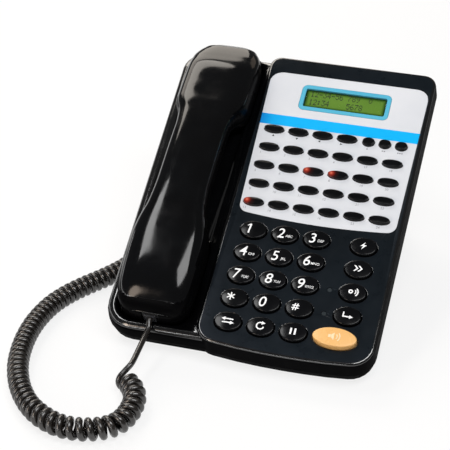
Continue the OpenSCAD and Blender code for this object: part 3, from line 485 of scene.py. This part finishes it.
# ---------------------------------------------------------------- handset
# Stations of the handset from the mouth end to the ear end, in millimetres: place along the face, half width,
# back, underside and parting line above the face
STATIONS = np.array([
    (-149, 14, 6, -5, 0), (-148, 17, 8.6, -7.4, 0.4), (-145.5, 20, 12, -9, 1), (-141, 22.4, 15.4, -10, 2),
    (-134, 23.6, 18.4, -10, 2.5), (-120, 24, 21.6, -10, 3), (-104, 24, 23.8, -10, 3.4), (-95, 23, 24.6, -9.4, 4.6),
    (-88, 21.2, 25.1, -5.5, 7), (-82, 19.2, 25.5, 3.5, 10), (-74, 17.8, 25.8, 7.6, 13), (-62, 17, 26, 9, 14),
    (-42, 17, 26, 9, 14), (-22, 17, 25.1, 9, 13.6), (-13, 17.8, 24.4, 7, 12), (-7, 19.4, 23.8, 1.5, 9),
    (-1, 22.4, 23.2, -6, 5.5), (5, 23.8, 22.4, -9.6, 3.6), (16, 24, 21.2, -10, 3), (32, 24, 19.2, -10, 2.5),
    (42, 23.4, 15.6, -10, 2.2), (49, 21, 12.6, -9.5, 1.6), (51.8, 19.2, 11.3, -9.1, 1.2),
    (53.4, 18.2, 10.5, -8.4, 1), (54.2, 17.6, 10, -1.9, 0.9), (57, 14, 7, -1.6, 0.4)], float)
BLOCK_END = 54.2
SHELL_T = 2.2
SEAM, SEAM_R = 0.12, 0.6
END_BULGE = 1.4
RING_STEP = 1.6


def station_at(v):
    """The handset's section at a place along it, on a curve through the stations that never overshoots them."""
    xs, out = STATIONS[:, 0], []
    for column in STATIONS[:, 1:].T:
        steps = np.diff(column) / np.diff(xs)
        slopes = np.zeros(len(xs))
        slopes[0], slopes[-1] = steps[0], steps[-1]
        for i in range(1, len(xs) - 1):
            if steps[i - 1] * steps[i] > 0:
                a, b = xs[i] - xs[i - 1], xs[i + 1] - xs[i]
                slopes[i] = 3 * (a + b) / ((2 * b + a) / steps[i - 1] + (b + 2 * a) / steps[i])
        i = min(max(int(np.searchsorted(xs, v)) - 1, 0), len(xs) - 2)
        w = xs[i + 1] - xs[i]
        t = (v - xs[i]) / w
        out.append(column[i] * (1 + 2 * t) * (1 - t) ** 2 + column[i + 1] * t * t * (3 - 2 * t)
                   + w * slopes[i] * t * (1 - t) ** 2 + w * slopes[i + 1] * t * t * (t - 1))
    return out


def half_section(v, upper, thick):
    """A closed ring round one half of the handset: rounded seam edge, boxy oval, seam edge, and back across."""
    half, top, under, parting = station_at(v)
    half, rise = half - thick, (top - parting if upper else parting - under) - thick
    power = 0.5 if upper else 0.42
    drawn = 0.0 if upper else 1.8
    a = np.linspace(0, math.pi / 2, 400)
    up = np.sin(a) ** power
    x, z = np.cos(a) ** power * (half - drawn * up), up * rise
    low = -1.0 if thick else SEAM
    corner = 0.0 if thick else SEAM_R
    keep = z > low + corner + 0.15
    far = np.concatenate([[0], np.cumsum(np.hypot(np.diff(x[keep]), np.diff(z[keep])))])
    even = np.linspace(0, far[-1], 26)
    side_x = list(np.interp(even, far, x[keep]))
    side_z = list(np.interp(even, far, z[keep]))
    turn = [math.radians(k) for k in (0, 22.5, 45, 67.5, 90)]
    start_x = [half - corner + corner * math.sin(t) for t in turn]
    start_z = [low + corner - corner * math.cos(t) for t in turn]
    x, z = start_x + side_x, start_z + side_z
    ring = [(p, q) for p, q in zip(x, z)] + [(-p, q) for p, q in zip(x[-2::-1], z[-2::-1])]
    ring += [(-x[0] + 2 * x[0] * k / 8, low) for k in range(1, 9)]
    sign = 1 if upper else -1
    return [(HANDSET_X + p, v, parting + sign * q) for p, q in ring], (HANDSET_X, parting + sign * low)


def lofted(name, rings):
    """A closed skin through rings drawn in the face's millimetres: a grid whose points go to the rings."""
    deselect()
    bpy.ops.mesh.primitive_grid_add(x_subdivisions=len(rings[0]) - 1, y_subdivisions=len(rings) - 1, size=1)
    o = bpy.context.object
    o.name = name
    places = np.array([tuple(FACE @ (Vector(p) * MM)) for ring in rings for p in ring], np.float32)
    o.data.vertices.foreach_set("co", places.ravel())
    o.data.update()
    recalculated(o)
    return o


def handset_half(name, upper, thick):
    """One half of the handset, with bulging ends, or its hollow, one wall further in, with flat ones."""
    low, high = STATIONS[0, 0] + thick, (BLOCK_END if thick else STATIONS[-1, 0]) - thick
    places = [low]
    for mark in [v for v in STATIONS[:, 0] if low < v < high] + [high]:
        start = places[-1]
        steps = max(3, math.ceil((mark - start) / RING_STEP))
        places += [start + (mark - start) * k / steps for k in range(1, steps + 1)]
    bulge = 0.0 if thick else END_BULGE
    ends = []
    for end, way in ((places[0], -1), (places[-1], 1)):
        ring, (cx, cz) = half_section(end, upper, thick)
        turns = [math.radians(90 - 15 * k) for k in range(7)]
        ends.append([[(cx + (x - cx) * math.cos(t), end + way * (bulge * math.sin(t)), cz + (z - cz) * math.cos(t))
                      for x, _, z in ring] for t in turns])
    middle = [half_section(v, upper, thick)[0] for v in places]
    return lofted(name, ends[0][:-1] + middle + ends[1][::-1][1:])


def cutter(name, parts):
    """Round and square bars, each (kind, x, v, w, size), turned to the face and joined."""
    made = []
    for kind, x, v, w, size in parts:
        deselect()
        if kind == "bar":
            bpy.ops.mesh.primitive_cube_add(size=1)
        else:
            bpy.ops.mesh.primitive_cylinder_add(vertices=32, radius=0.5, depth=1)
        o = bpy.context.object
        o.matrix_world = FACE @ Matrix.Translation(Vector((x, v, w)) * MM) @ Matrix.Diagonal(Vector(size) * MM).to_4x4()
        made.append(o)
    pick(*made)
    bpy.ops.object.transform_apply(location=True, rotation=True, scale=True)
    bpy.ops.object.join()
    o = bpy.context.object
    o.name = name
    return o


def cut(o, tool):
    """Takes the tool's form out of the object, and the tool out of the scene."""
    apply(o, "BOOLEAN", operation="DIFFERENCE", object=tool, solver="EXACT")
    bpy.data.objects.remove(tool)


def outlined(shapes, together=False):
    """Filled outlines as one flat mesh in millimetres; those that don't touch can go together into one curve."""
    made = []
    for group in [shapes] if together else [[shape] for shape in shapes]:
        line = bpy.data.curves.new("mark", "CURVE")
        line.dimensions = "2D"
        line.fill_mode = "BOTH"
        for shape in group:
            edge = line.splines.new("POLY")
            edge.points.add(len(shape) - 1)
            for point, (x, y) in zip(edge.points, shape):
                point.co = (x, y, 0, 1)
            edge.use_cyclic_u = True
        o = bpy.data.objects.new("mark", line)
        scene.collection.objects.link(o)
        pick(o)
        bpy.ops.object.convert(target="MESH")
        made.append(bpy.context.object)
    pick(*made)
    if len(made) > 1:
        bpy.ops.object.join()
    return bpy.context.object


def softened(o, angle=38):
    """Smooth shading up to an angle in degrees, weighted by the faces' sizes."""
    pick(o)
    bpy.ops.object.shade_smooth_by_angle(angle=math.radians(angle))
    apply(o, "WEIGHTED_NORMAL", keep_sharp=True, weight=100)


SOCKET = ("bar", HANDSET_X, -148.0, SOCKET_H, (11.1, 8.0, 9.7))
SCREWS_V, EAR_V, MOUTH_V, UNDER_H = (48.4, -100.0), 27.0, -130.0, -9.0
SHADED_WALLS_BELOW = 0.42  # how far up a face's normal points, 1 being straight up
back_shell = handset_half("handset_back_shell", True, 0.0)
cut(back_shell, handset_half("hollow", True, SHELL_T))
cut(back_shell, cutter("socket_way", [SOCKET]))
softened(back_shell)
finished(back_shell, "handset_back_shell", gloss_abs, "handset")
# Its upright walls get the nearly unreflecting copy, painted shade that keeps them from mirroring the pale table
back_shell.data.materials.append(satin_and_shaded_abs)
for face in back_shell.data.polygons:
    if face.normal.z < SHADED_WALLS_BELOW:
        face.material_index = 1
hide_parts("handset_back")

front_shell = handset_half("handset_front_shell", False, 0.0)
cut(front_shell, handset_half("hollow", False, SHELL_T))
holes = [SOCKET] + [("rod", HANDSET_X, v, UNDER_H, (6.4, 6.4, 4.4)) for v in SCREWS_V]
ear_holes = [(5 * math.cos(a), 5 * math.sin(a)) for a in [math.radians(60 * i) for i in range(6)]] + [(0, 0)]
holes += [("rod", HANDSET_X + x, EAR_V + y, UNDER_H, (2.4, 2.4, 6)) for x, y in ear_holes]
holes += [("rod", HANDSET_X + 3 * i, MOUTH_V, UNDER_H, (1.6, 1.6, 6)) for i in (-1, 0, 1)]
cut(front_shell, cutter("sound_and_screw_holes", holes))
softened(front_shell)
finished(front_shell, "handset_front_shell", satin_and_shaded_abs, "handset")
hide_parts("handset_front")


# ---------------------------------------------------------------- keys
LINE_X0, LINE_PITCH_X, LINE_PITCH_Y = CONSOLE_MID - 40.6, 16.0, 14.25
OPTION_X0, SMALL_PITCH = LINE_X0 + 61.92, 10.56
DIAL_X0, DIAL_Y0, DIAL_PITCH_X, DIAL_PITCH_Y = CONSOLE_MID - 35.5, -77.8, 20.0, 16.4
SIDE_X, TALK_X = CONSOLE_MID + 33.8, CONSOLE_MID + 29.7
DIAL_SIZE, TALK_SIZE, LINE_SIZE, SMALL_SIZE = (16.5, 12.3), (26.5, 12.3), (12.9, 5.8), (7.6, 6.4)
KEY_FOOT, FLANGE_LOW, FLANGE_HIGH, FLANGE_OUT = -5.0, -3.9, -2.9, 1.1
KEY_GAP, HOLE_RIM, CUT_LOW, CUT_HIGH = 0.4, 0.45, -1.6, 0.6
GLOW_REACH = 5.4


def dial_top(x, y):
    """Height of a dial key's shallow crown over a place on it."""
    return 2.2 - (x * x + y * y) / 90


def talk_top(x, y):
    """Height of the hands-free key's crown."""
    return 4.6 - (x * x + y * y) / 180


def line_top(x, y):
    """Height of a small key's crown, round from front to back."""
    return 1.8 - 7 + math.sqrt(49 - y * y)


def cap(name, x0, v0, size, top, edge):
    """An oval key: foot, flange under the housing, wall, rounded edge and crown."""
    a, b = size[0] / 2, size[1] / 2
    turns = [2 * math.pi * i / 48 for i in range(49)]

    def ring(reach, height, draw=0.0):
        out = []
        for t in turns:
            x, y = (a + reach) * math.cos(t) * (1 - draw), (b + reach) * math.sin(t) * (1 - draw)
            out.append((x, y, height if height is not None else top(x, y)))
        return out

    def edge_ring(turned):
        out = []
        for t in turns:
            x, y = (a - edge) * math.cos(t), (b - edge) * math.sin(t)
            reach = edge * math.cos(turned)
            out.append((x + reach * math.cos(t), y + reach * math.sin(t), top(x, y) - edge + edge * math.sin(turned)))
        return out

    rings = [ring(0, KEY_FOOT, 1.0), ring(0, KEY_FOOT), ring(0, FLANGE_LOW), ring(FLANGE_OUT, FLANGE_LOW),
             ring(FLANGE_OUT, FLANGE_HIGH), ring(0, FLANGE_HIGH)]
    rings += [edge_ring(math.radians(18 * k)) for k in range(6)]
    rings += [ring(-edge, None, 1 - s) for s in (0.9, 0.75, 0.55, 0.3, 0.0)]
    return lofted(name, [[(x0 + x, v0 + y, z) for x, y, z in r] for r in rings])


def keyed(node, material, places, size, top, edge):
    """The caps of one node, joined, in place of that node."""
    made = [cap(node, x, v, size, top, edge) for x, v in places]
    pick(*made)
    if len(made) > 1:
        bpy.ops.object.join()
    o = bpy.context.object
    softened(o, 35)
    finished(o, node + "_caps" if len(made) > 1 else node + "_cap", material, node)
    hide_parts(node)


dial_names = ["key_%d" % n for n in range(1, 10)]
dial_names += ["key_star", "key_0", "key_hash", "key_transfer", "key_redial", "key_hold"]
side_names = ["key_flash", "key_speed", "key_intercom", "key_trunk"]
dial_places = [(DIAL_X0 + (i % 3) * DIAL_PITCH_X, DIAL_Y0 - (i // 3) * DIAL_PITCH_Y) for i in range(15)]
side_places = [(SIDE_X, DIAL_Y0 - i * DIAL_PITCH_Y) for i in range(4)]
talk_place = (TALK_X, DIAL_Y0 - 4 * DIAL_PITCH_Y)
row_places = [[(LINE_X0 + i * LINE_PITCH_X, -r * LINE_PITCH_Y) for i in range(4 if r == 0 else 6)] for r in range(5)]
option_places = [(OPTION_X0 + i * SMALL_PITCH, 0.0) for i in range(3)]

for name, place in zip(dial_names + side_names, dial_places + side_places):
    keyed(name, key_abs, [place], DIAL_SIZE, dial_top, 0.7)
keyed("key_handsfree", amber_abs, [talk_place], TALK_SIZE, talk_top, 0.8)
keyed("select_keys", key_abs, row_places[0], LINE_SIZE, line_top, 0.5)
keyed("option_keys", key_abs, option_places, SMALL_SIZE, line_top, 0.5)


def glowing(name, places):
    """The key plastic with a red lamp shining through at the places: a pale core that dies away to deep red."""
    material = moulded(name, *KEY_LOOK)
    tree = material.node_tree
    place, near = object_place(tree), None
    for x, v in places:
        lamp = on_face(x - 4.3, v + 0.2, 1.6)
        far = add(tree, "ShaderNodeVectorMath", {0: place, 1: lamp}, operation="DISTANCE").outputs["Value"]
        near = far if near is None else maths(tree, "MINIMUM", near, far)
    glow = ramp(tree, mapped(tree, near, 0.0, GLOW_REACH * MM), [
        (0.0, "#E8896E"), (0.16, "#BC4530"), (0.34, "#7C1F12"), (0.55, "#2A0703"), (1.0, "#000000")])
    feed(tree, found(tree, "BSDF_PRINCIPLED"), {"Emission Color": glow, "Emission Strength": 1.0})
    return material


lit_keys = {2: [row_places[2][2], row_places[2][3]], 4: [row_places[4][0]]}
for r in (1, 2, 3, 4):
    look = glowing("lit_key_abs_row_%d" % (r + 1), lit_keys[r]) if r in lit_keys else key_abs
    keyed("line_keys_row_%d" % (r + 1), look, row_places[r], LINE_SIZE, line_top, 0.5)


# ---------------------------------------------------------------- housings
def polished(node):
    """A copy of a CAD solid with its loose triangles merged."""
    deselect()
    o = nodes[node].copy()
    o.data = nodes[node].data.copy()
    o.parent = None
    for key in [k for k in o.keys() if k.startswith("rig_")]:
        del o[key]
    scene.collection.objects.link(o)
    recalculated(o)
    return o


def flared(name, places, size):
    """Oval cutters whose walls open outwards at the top, which leave a rounded rim round each key's hole."""
    a, b = size[0] / 2 + KEY_GAP, size[1] / 2 + KEY_GAP
    turns = [2 * math.pi * i / 56 for i in range(57)]
    # Reach beyond the hole, height, and 1 for a ring or 0 for the point that closes an end
    profile = [(0, CUT_LOW, 0), (0, CUT_LOW, 1)]
    profile += [(HOLE_RIM * (1 - math.cos(t)), -HOLE_RIM + HOLE_RIM * math.sin(t), 1)
                for t in [math.radians(22.5 * k) for k in range(5)]]
    profile += [(HOLE_RIM, CUT_HIGH, 1), (HOLE_RIM, CUT_HIGH, 0)]
    made = [lofted(name, [[(x0 + drawn * (a + reach) * math.cos(t), v0 + drawn * (b + reach) * math.sin(t), height)
                           for t in turns] for reach, height, drawn in profile]) for x0, v0 in places]
    pick(*made)
    bpy.ops.object.join()
    return bpy.context.object


PANEL_LEFT, PANEL_RIGHT, PANEL_FRONT, BOW = CONSOLE_MID - 48.6, CONSOLE_MID + 50.5, -65.0, 2.3


def bowed(name, grow, low, high):
    """A thin crescent along the panel's front edge, bowed to the front."""
    middle, half = (PANEL_LEFT + PANEL_RIGHT) / 2, (PANEL_RIGHT - PANEL_LEFT) / 2 - 6 + grow
    shares = [-1 + k / 12 for k in range(25)]
    edge = [(middle + half * t, PANEL_FRONT - grow - (BOW * (1 - t * t))) for t in shares]
    o = outlined([[(middle + half, PANEL_FRONT + 1.0), (middle - half, PANEL_FRONT + 1.0)] + edge])
    apply(o, "SOLIDIFY", thickness=high - low, offset=1.0)
    o.name = name
    heights = [v.co.z for v in o.data.vertices]
    for vertex in o.data.vertices:
        vertex.co.z += low - min(heights)
        vertex.co = FACE @ (vertex.co * MM)
    o.data.update()
    recalculated(o)
    return o


upper = polished("upper_housing")
cut(upper, flared("dial_hole_rims", dial_places + side_places, DIAL_SIZE))
cut(upper, flared("talk_hole_rim", [talk_place], TALK_SIZE))
cut(upper, bowed("bowed_recess", 0.2, RECESS_H, CUT_HIGH))
softened(upper)
finished(upper, "upper_housing_shell", black_abs, "base")
upper.data.materials.append(console_abs)
upper.data.materials.append(rim_lit_copy_abs)
out_of_face = FACE.to_3x3() @ Vector((0, 0, 1))
level = FACE.inverted()
# The console's flat top is textured; all other faces that look up get the lit copy, a painted highlight, and the rest
# keep the shaded copy, painted shade
FLAT_ABOVE, LEVEL_WITHIN, LIT_COPY_ABOVE = 0.995, 0.08 * MM, 0.3
for face in upper.data.polygons:
    if face.normal.dot(out_of_face) > FLAT_ABOVE and abs((level @ face.center).z) < LEVEL_WITHIN:
        face.material_index = 1
    elif face.normal.z > LIT_COPY_ABOVE:
        face.material_index = 2
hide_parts("upper_housing")

lower = polished("lower_housing")
softened(lower)
finished(lower, "lower_housing_shell", black_abs, "base")
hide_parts("lower_housing")

sheet = polished("face_panel")
bow = bowed("bow", 0.0, RECESS_H, PANEL_H)
apply(sheet, "BOOLEAN", operation="UNION", object=bow, solver="EXACT")
bpy.data.objects.remove(bow)
softened(sheet)
finished(sheet, "face_panel_sheet", panel_print, "base")
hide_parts("face_panel")


# ---------------------------------------------------------------- prints, marks and the display
def laid(o, x0, v0, top, lift):
    """Lays a flat mesh, drawn in millimetres, on the face at a place, following what is under it."""
    for vertex in o.data.vertices:
        x, y = vertex.co.x, vertex.co.y
        vertex.co = FACE @ (Vector((x0 + x, v0 + y, top(x, y) + lift)) * MM)
    o.data.update()


def divided(o, cuts):
    """Cuts a flat mesh into smaller triangles, so that it can follow a crown."""
    pick(o)
    bpy.ops.object.mode_set(mode="EDIT")
    bpy.ops.mesh.select_all(action="SELECT")
    bpy.ops.mesh.quads_convert_to_tris()
    bpy.ops.mesh.subdivide(number_cuts=cuts)
    bpy.ops.object.mode_set(mode="OBJECT")


def lettered(words, height, at=(0, 0), slant=0.0, weight=0.0, squeeze=1.0):
    """Words as a flat mesh in millimetres, centred on a point, with capitals of one height."""
    capital = 0.729  # height of a capital in the font's own units
    deselect()
    bpy.ops.object.text_add()
    o = bpy.context.object
    o.data.body = words
    o.data.shear = slant
    o.data.offset = weight
    o.data.size = 1.0
    bpy.ops.object.convert(target="MESH")
    o = bpy.context.object
    places = np.array([v.co for v in o.data.vertices], float)
    low, high = places.min(0), places.max(0)
    scale = height / capital
    for vertex in o.data.vertices:
        vertex.co = Vector((at[0] + (vertex.co.x - (low[0] + high[0]) / 2) * scale * squeeze,
                            at[1] + (vertex.co.y - capital / 2) * scale, 0))
    return o


def printed(name, pieces, place, top, ink, body, lift=0.04):
    """The flat pieces as one print, a hair above what it lies on."""
    pick(*pieces)
    if len(pieces) > 1:
        bpy.ops.object.join()
    o = bpy.context.object
    divided(o, 2)
    laid(o, *place, top, lift)
    finished(o, name, ink, body)


def arrow(x, y, size, way):
    """A filled triangle that points up, down, left or right."""
    turned = {"right": 0, "up": 90, "left": 180, "down": 270}[way]
    corners = [math.radians(turned + k) for k in (0, 125, 235)]
    return [(x + size * math.cos(t), y + size * math.sin(t)) for t in corners]


def arc_band(x, y, r, wide, start, end):
    """A band along an arc between two angles in degrees."""
    turns = [math.radians(start + (end - start) * k / 16) for k in range(17)]
    return [(x + reach * math.cos(t), y + reach * math.sin(t))
            for reach, way in ((r + wide / 2, turns), (r - wide / 2, turns[::-1])) for t in way]


def bar(x, y, length, wide, turned=0):
    """A straight bar about its middle, turned anticlockwise in degrees."""
    c, s = math.cos(math.radians(turned)), math.sin(math.radians(turned))
    return [(x + c * u - s * w, y + s * u + c * w) for u, w in
            [(-length / 2, -wide / 2), (length / 2, -wide / 2), (length / 2, wide / 2), (-length / 2, wide / 2)]]


star = [bar(-2.2 + 1.3 * math.cos(math.radians(a)), 0.3 + 1.3 * math.sin(math.radians(a)), 2.6, 0.75, a)
        for a in (30, 90, 150, 210, 270, 330)]
hash_sign = [bar(-3.0, 0.2, 4.8, 0.7, 78), bar(-1.4, 0.2, 4.8, 0.7, 78), bar(-2.1, 1.05, 4.4, 0.65),
             bar(-2.3, -0.65, 4.4, 0.65)]
dial_letters = ["", "ABC", "DEF", "GHI", "JKL", "MNO", "PQRS", "TUV", "WXYZ", "", "", ""]
for i, (sign, letters) in enumerate(zip("123456789*0#", dial_letters)):
    if sign.isdigit():
        pieces = [lettered(sign, 7.0, at=(-2.3, 0.3), slant=0.1, weight=0.005)]
    else:
        pieces = [outlined(star if sign == "*" else hash_sign)]
    if sign == "1":
        pieces.append(outlined([[(-2.2, 3.75), (-3.9, 2.5), (-4.05, 1.6), (-2.6, 2.55)]]))
    if letters:
        squeeze = 0.95 if len(letters) < 4 else 0.75
        pieces.append(lettered(letters, 1.75, at=(3.0, -1.4), slant=0.1, weight=0.004, squeeze=squeeze))
    printed(dial_names[i] + "_print", pieces, dial_places[i], dial_top, white_ink_painted_glow, dial_names[i])
marks = {
    "key_transfer": [bar(0.6, 1.1, 5.4, 0.8), arrow(-2.6, 1.1, 1.5, "left"),
                     bar(-0.6, -1.3, 5.4, 0.8), arrow(2.6, -1.3, 1.5, "right")],
    "key_redial": [arc_band(0, 0, 2.2, 0.85, 60, 350), arrow(1.4, 2.0, 1.5, "right")],
    "key_hold": [bar(-1.3, 0, 1.1, 4.2), bar(1.3, 0, 1.1, 4.2)],
    "key_flash": [[(0.9, 2.6), (-1.9, -0.4), (-0.2, -0.4), (-1.0, -2.8), (1.9, 0.5), (0.2, 0.5)]],
    "key_speed": [[(-2.8, 2.0), (-1.7, 2.0), (0.2, 0), (-1.7, -2.0), (-2.8, -2.0), (-0.9, 0)],
                  [(-0.2, 2.0), (0.9, 2.0), (2.8, 0), (0.9, -2.0), (-0.2, -2.0), (1.7, 0)]],
    "key_intercom": [arc_band(-1.2, 0, 1.0, 0.9, 0, 359), arc_band(0, 0, 3.2, 0.75, -50, 50),
                     arc_band(0, 0, 1.9, 0.7, -45, 45)],
    "key_trunk": [bar(-0.7, -0.9, 4.2, 0.8), arrow(2.2, -0.9, 1.4, "right"), bar(-2.4, 0.8, 0.8, 2.8)],
}
for name, shapes in marks.items():
    place = (dial_places + side_places)[(dial_names + side_names).index(name)]
    printed(name + "_print", [outlined(shapes)], place, dial_top, white_ink_painted_glow, name)
loud = [bar(-3.0, 0, 1.6, 2.0), [(-2.0, 1.0), (-0.2, 2.5), (-0.2, -2.5), (-2.0, -1.0)],
        arc_band(-0.6, 0, 2.2, 0.7, -42, 42), arc_band(-0.6, 0, 3.8, 0.7, -42, 42)]
printed("key_handsfree_print", [outlined(loud)], talk_place, talk_top, pale_ink, "key_handsfree")


def panel_top(x, y):
    return PANEL_H


numbers = []
for r in range(4):
    for i, (x, v) in enumerate(row_places[r + 1]):
        number, at = (4 * r + i + 1, (x - 4.8, v - 4.6)) if i < 4 else (16 + 2 * r + i - 3, (x, v - 4.9))
        numbers.append(lettered(str(number), 1.7, at=at))
# One, two and three dots under the small keys
for i, (x, v) in enumerate(option_places):
    numbers.append(outlined([arc_band(x + 1.3 * (k - i / 2), v - 5.2, 0.25, 0.48, 0, 359) for k in range(i + 1)]))
printed("panel_numbers", numbers, (0, 0), panel_top, grey_ink, "base", 0.03)
arrows = [arrow(row_places[0][0][0] + 0.4, -4.75, 1.0, "up"), arrow(row_places[0][1][0], -4.75, 1.0, "down"),
          arrow(row_places[0][2][0] - 1.2, -4.4, 1.0, "left"), arrow(row_places[0][3][0] - 3.2, -4.3, 1.0, "right")]
printed("panel_arrows", [outlined(arrows)], (0, 0), panel_top, black_ink, "base", 0.03)


def thinned(node, name, material, low, high):
    """A copy of a flat CAD solid between two other heights above the face."""
    o = polished(node)
    heights = [(level @ v.co).z for v in o.data.vertices]
    middle = (min(heights) + max(heights)) / 2
    for vertex, height in zip(o.data.vertices, heights):
        vertex.co += out_of_face * ((high if height > middle else low) * MM - height)
    o.data.update()
    softened(o)
    return finished(o, name, material, "base")


# The display's cell lies right under its window, as its dark border in the photograph shows
window_pane = thinned("display_window", "display_window_pane", window_acrylic, WINDOW_LOW, WINDOW_HIGH)
thinned("display_window", "display_cell_front", lcd_cell, CELL_BACK, CELL_H)
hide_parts("display_window")
# The display's characters, each as seven rows of five dots
DOTS = {
    "0": "0E 11 13 15 19 11 0E", "1": "04 0C 04 04 04 04 0E", "2": "0E 11 01 02 04 08 1F",
    "3": "1F 02 04 02 01 11 0E", "4": "02 06 0A 12 1F 02 02", "5": "1F 10 1E 01 01 11 0E",
    "6": "06 08 10 1E 11 11 0E", "7": "1F 01 02 04 08 08 08", "8": "0E 11 11 0E 11 11 0E",
    "9": "0E 11 11 0F 01 02 0C", "-": "00 00 00 1F 00 00 00", ":": "00 0C 0C 00 0C 0C 00",
    "o": "00 0E 11 11 11 0E 00",
}
dots = []
for words, v in (("12-34-56 789  o", 32.9), ("12:34    5678", 26.4)):
    for i, sign in enumerate(words):
        for r, bits in enumerate(DOTS.get(sign, "").split()):
            dots += [bar(CONSOLE_MID - 22.3 + 2.74 * i + 0.457 * (c - 2), v + 0.66 * (3 - r), 0.45, 0.65)
                     for c in range(5) if int(bits, 16) >> (4 - c) & 1]


def cell_top(x, y):
    return CELL_H


printed("display_characters", [outlined(dots, together=True)], (0, 0), cell_top, lcd_ink, "base", 0.02)

# The solids' own finishes; every solid that isn't named here is a black key
plain = {
    "rubber_feet": foot_rubber, "base_screws": zinc_steel, "face_panel": panel_print, "display_surround": turquoise_abs,
    "display_window": window_acrylic, "display_panel": lcd_cell, "display_holder": grey_abs, "main_board": board_mask,
    "hook_board": board_mask, "line_key_mat": mat_rubber, "dial_key_mat": mat_rubber, "line_lamps": red_lens,
    "indicator_lamps": smoked_lens, "speaker": cone_paper, "hook_plunger": black_abs, "hook_spring": spring_wire,
    "hook_switch": jack_nylon, "handset_jack": jack_nylon, "line_jack": jack_nylon, "receiver": capsule_abs,
    "transmitter": capsule_abs, "handset_weight": bare_steel, "handset_screws": zinc_steel,
    "handset_socket": jack_nylon, "plug_handset": plug_acrylic, "plug_base": plug_acrylic, "key_handsfree": amber_abs,
}
plain.update(dict.fromkeys(("upper_housing", "lower_housing", "handset_back", "handset_front"), black_abs))
plain.update(dict.fromkeys(("cord_lead_handset", "cord_coil", "cord_lead_base"), cord_vinyl))
for name, o in nodes.items():
    o.data.materials.clear()
    o.data.materials.append(plain.get(name, key_abs))


# ---------------------------------------------------------------- table and light
bpy.ops.mesh.primitive_plane_add(size=8.0, location=(0, 0, 0))
floor = bpy.context.object
floor.name = "table"
material, tree, shader = new_finish("white_table")
feed(tree, shader, {"Base Color": linear("#F7F7F7"), "Roughness": 0.9})
# What the camera and the reflections see of the table is mostly plain white
rays = add(tree, "ShaderNodeLightPath").outputs
seen = maths(tree, "MAXIMUM", rays["Is Camera Ray"], rays["Is Glossy Ray"])
seen = maths(tree, "MAXIMUM", seen, rays["Is Transmission Ray"])
white = add(tree, "ShaderNodeEmission", {"Color": WHITE, "Strength": 1.0})
share = maths(tree, "MULTIPLY", seen, 0.8)
blend = add(tree, "ShaderNodeMixShader", {0: share, 1: shader.outputs[0], 2: white.outputs[0]})
feed(tree, found(tree, "OUTPUT_MATERIAL"), {0: blend.outputs[0]})
floor.data.materials.append(material)

world = bpy.data.worlds.new("studio")
world.use_nodes = True
feed(world.node_tree, world.node_tree.nodes["Background"], {"Color": WHITE, "Strength": 0.11})
scene.world = world

AIM = Vector((-0.03, -0.02, 0.07))


def towards(azimuth, elevation, reach):
    """A point seen from the telephone: azimuth 0 is straight in front of it, 90 to its right."""
    a, e = math.radians(azimuth), math.radians(elevation)
    return AIM + reach * Vector((math.sin(a) * math.cos(e), -math.cos(a) * math.cos(e), math.sin(e)))


def softbox(name, start, end, reach, wide, glow, colour="#FFFFFF", shape="RECTANGLE"):
    """A long soft box between two directions, facing the telephone; glow is its radiance."""
    a, b = towards(*start, reach), towards(*end, reach)
    middle, long_way = (a + b) / 2, (b - a).normalized()
    back = (middle - AIM).normalized()
    back = (back - long_way * back.dot(long_way)).normalized()
    lamp = bpy.data.lights.new(name, "AREA")
    lamp.shape = shape
    lamp.size, lamp.size_y = (b - a).length, wide
    lamp.energy = glow * math.pi * lamp.size * lamp.size_y
    lamp.color = linear(colour)[:3]
    o = bpy.data.objects.new(name, lamp)
    scene.collection.objects.link(o)
    o.matrix_world = Matrix.Translation(middle) @ Matrix((long_way, back.cross(long_way), back)).transposed().to_4x4()


# Each box stands where the photograph's reflections on the handset point to
softbox("left_box", (-103, 62), (-57, 62), 1.2, 0.21, 9.5)
softbox("right_box", (8, 61), (80, 57), 1.2, 0.38, 8.5)
softbox("rear_low_box", (-175, 23), (-124, 23), 1.4, 0.44, 3, "#FFF6EA")
softbox("rear_high_box", (-162, 47), (-122, 41), 1.4, 0.4, 6.5, "#FFF8EE")
softbox("rear_right_box", (176, 28), (148, 28), 1.4, 0.3, 0.8, "#F0DCC8")
softbox("front_box", (-33, 22), (-20, 22), 1.2, 0.68, 6, "#FFEBD8", "ELLIPSE")
# Two low strips draw the bright lines along the rims
softbox("front_strip", (-36, 7), (4, 7), 1.2, 0.07, 10)
softbox("left_strip", (-112, 6), (-40, 6), 1.2, 0.07, 5)
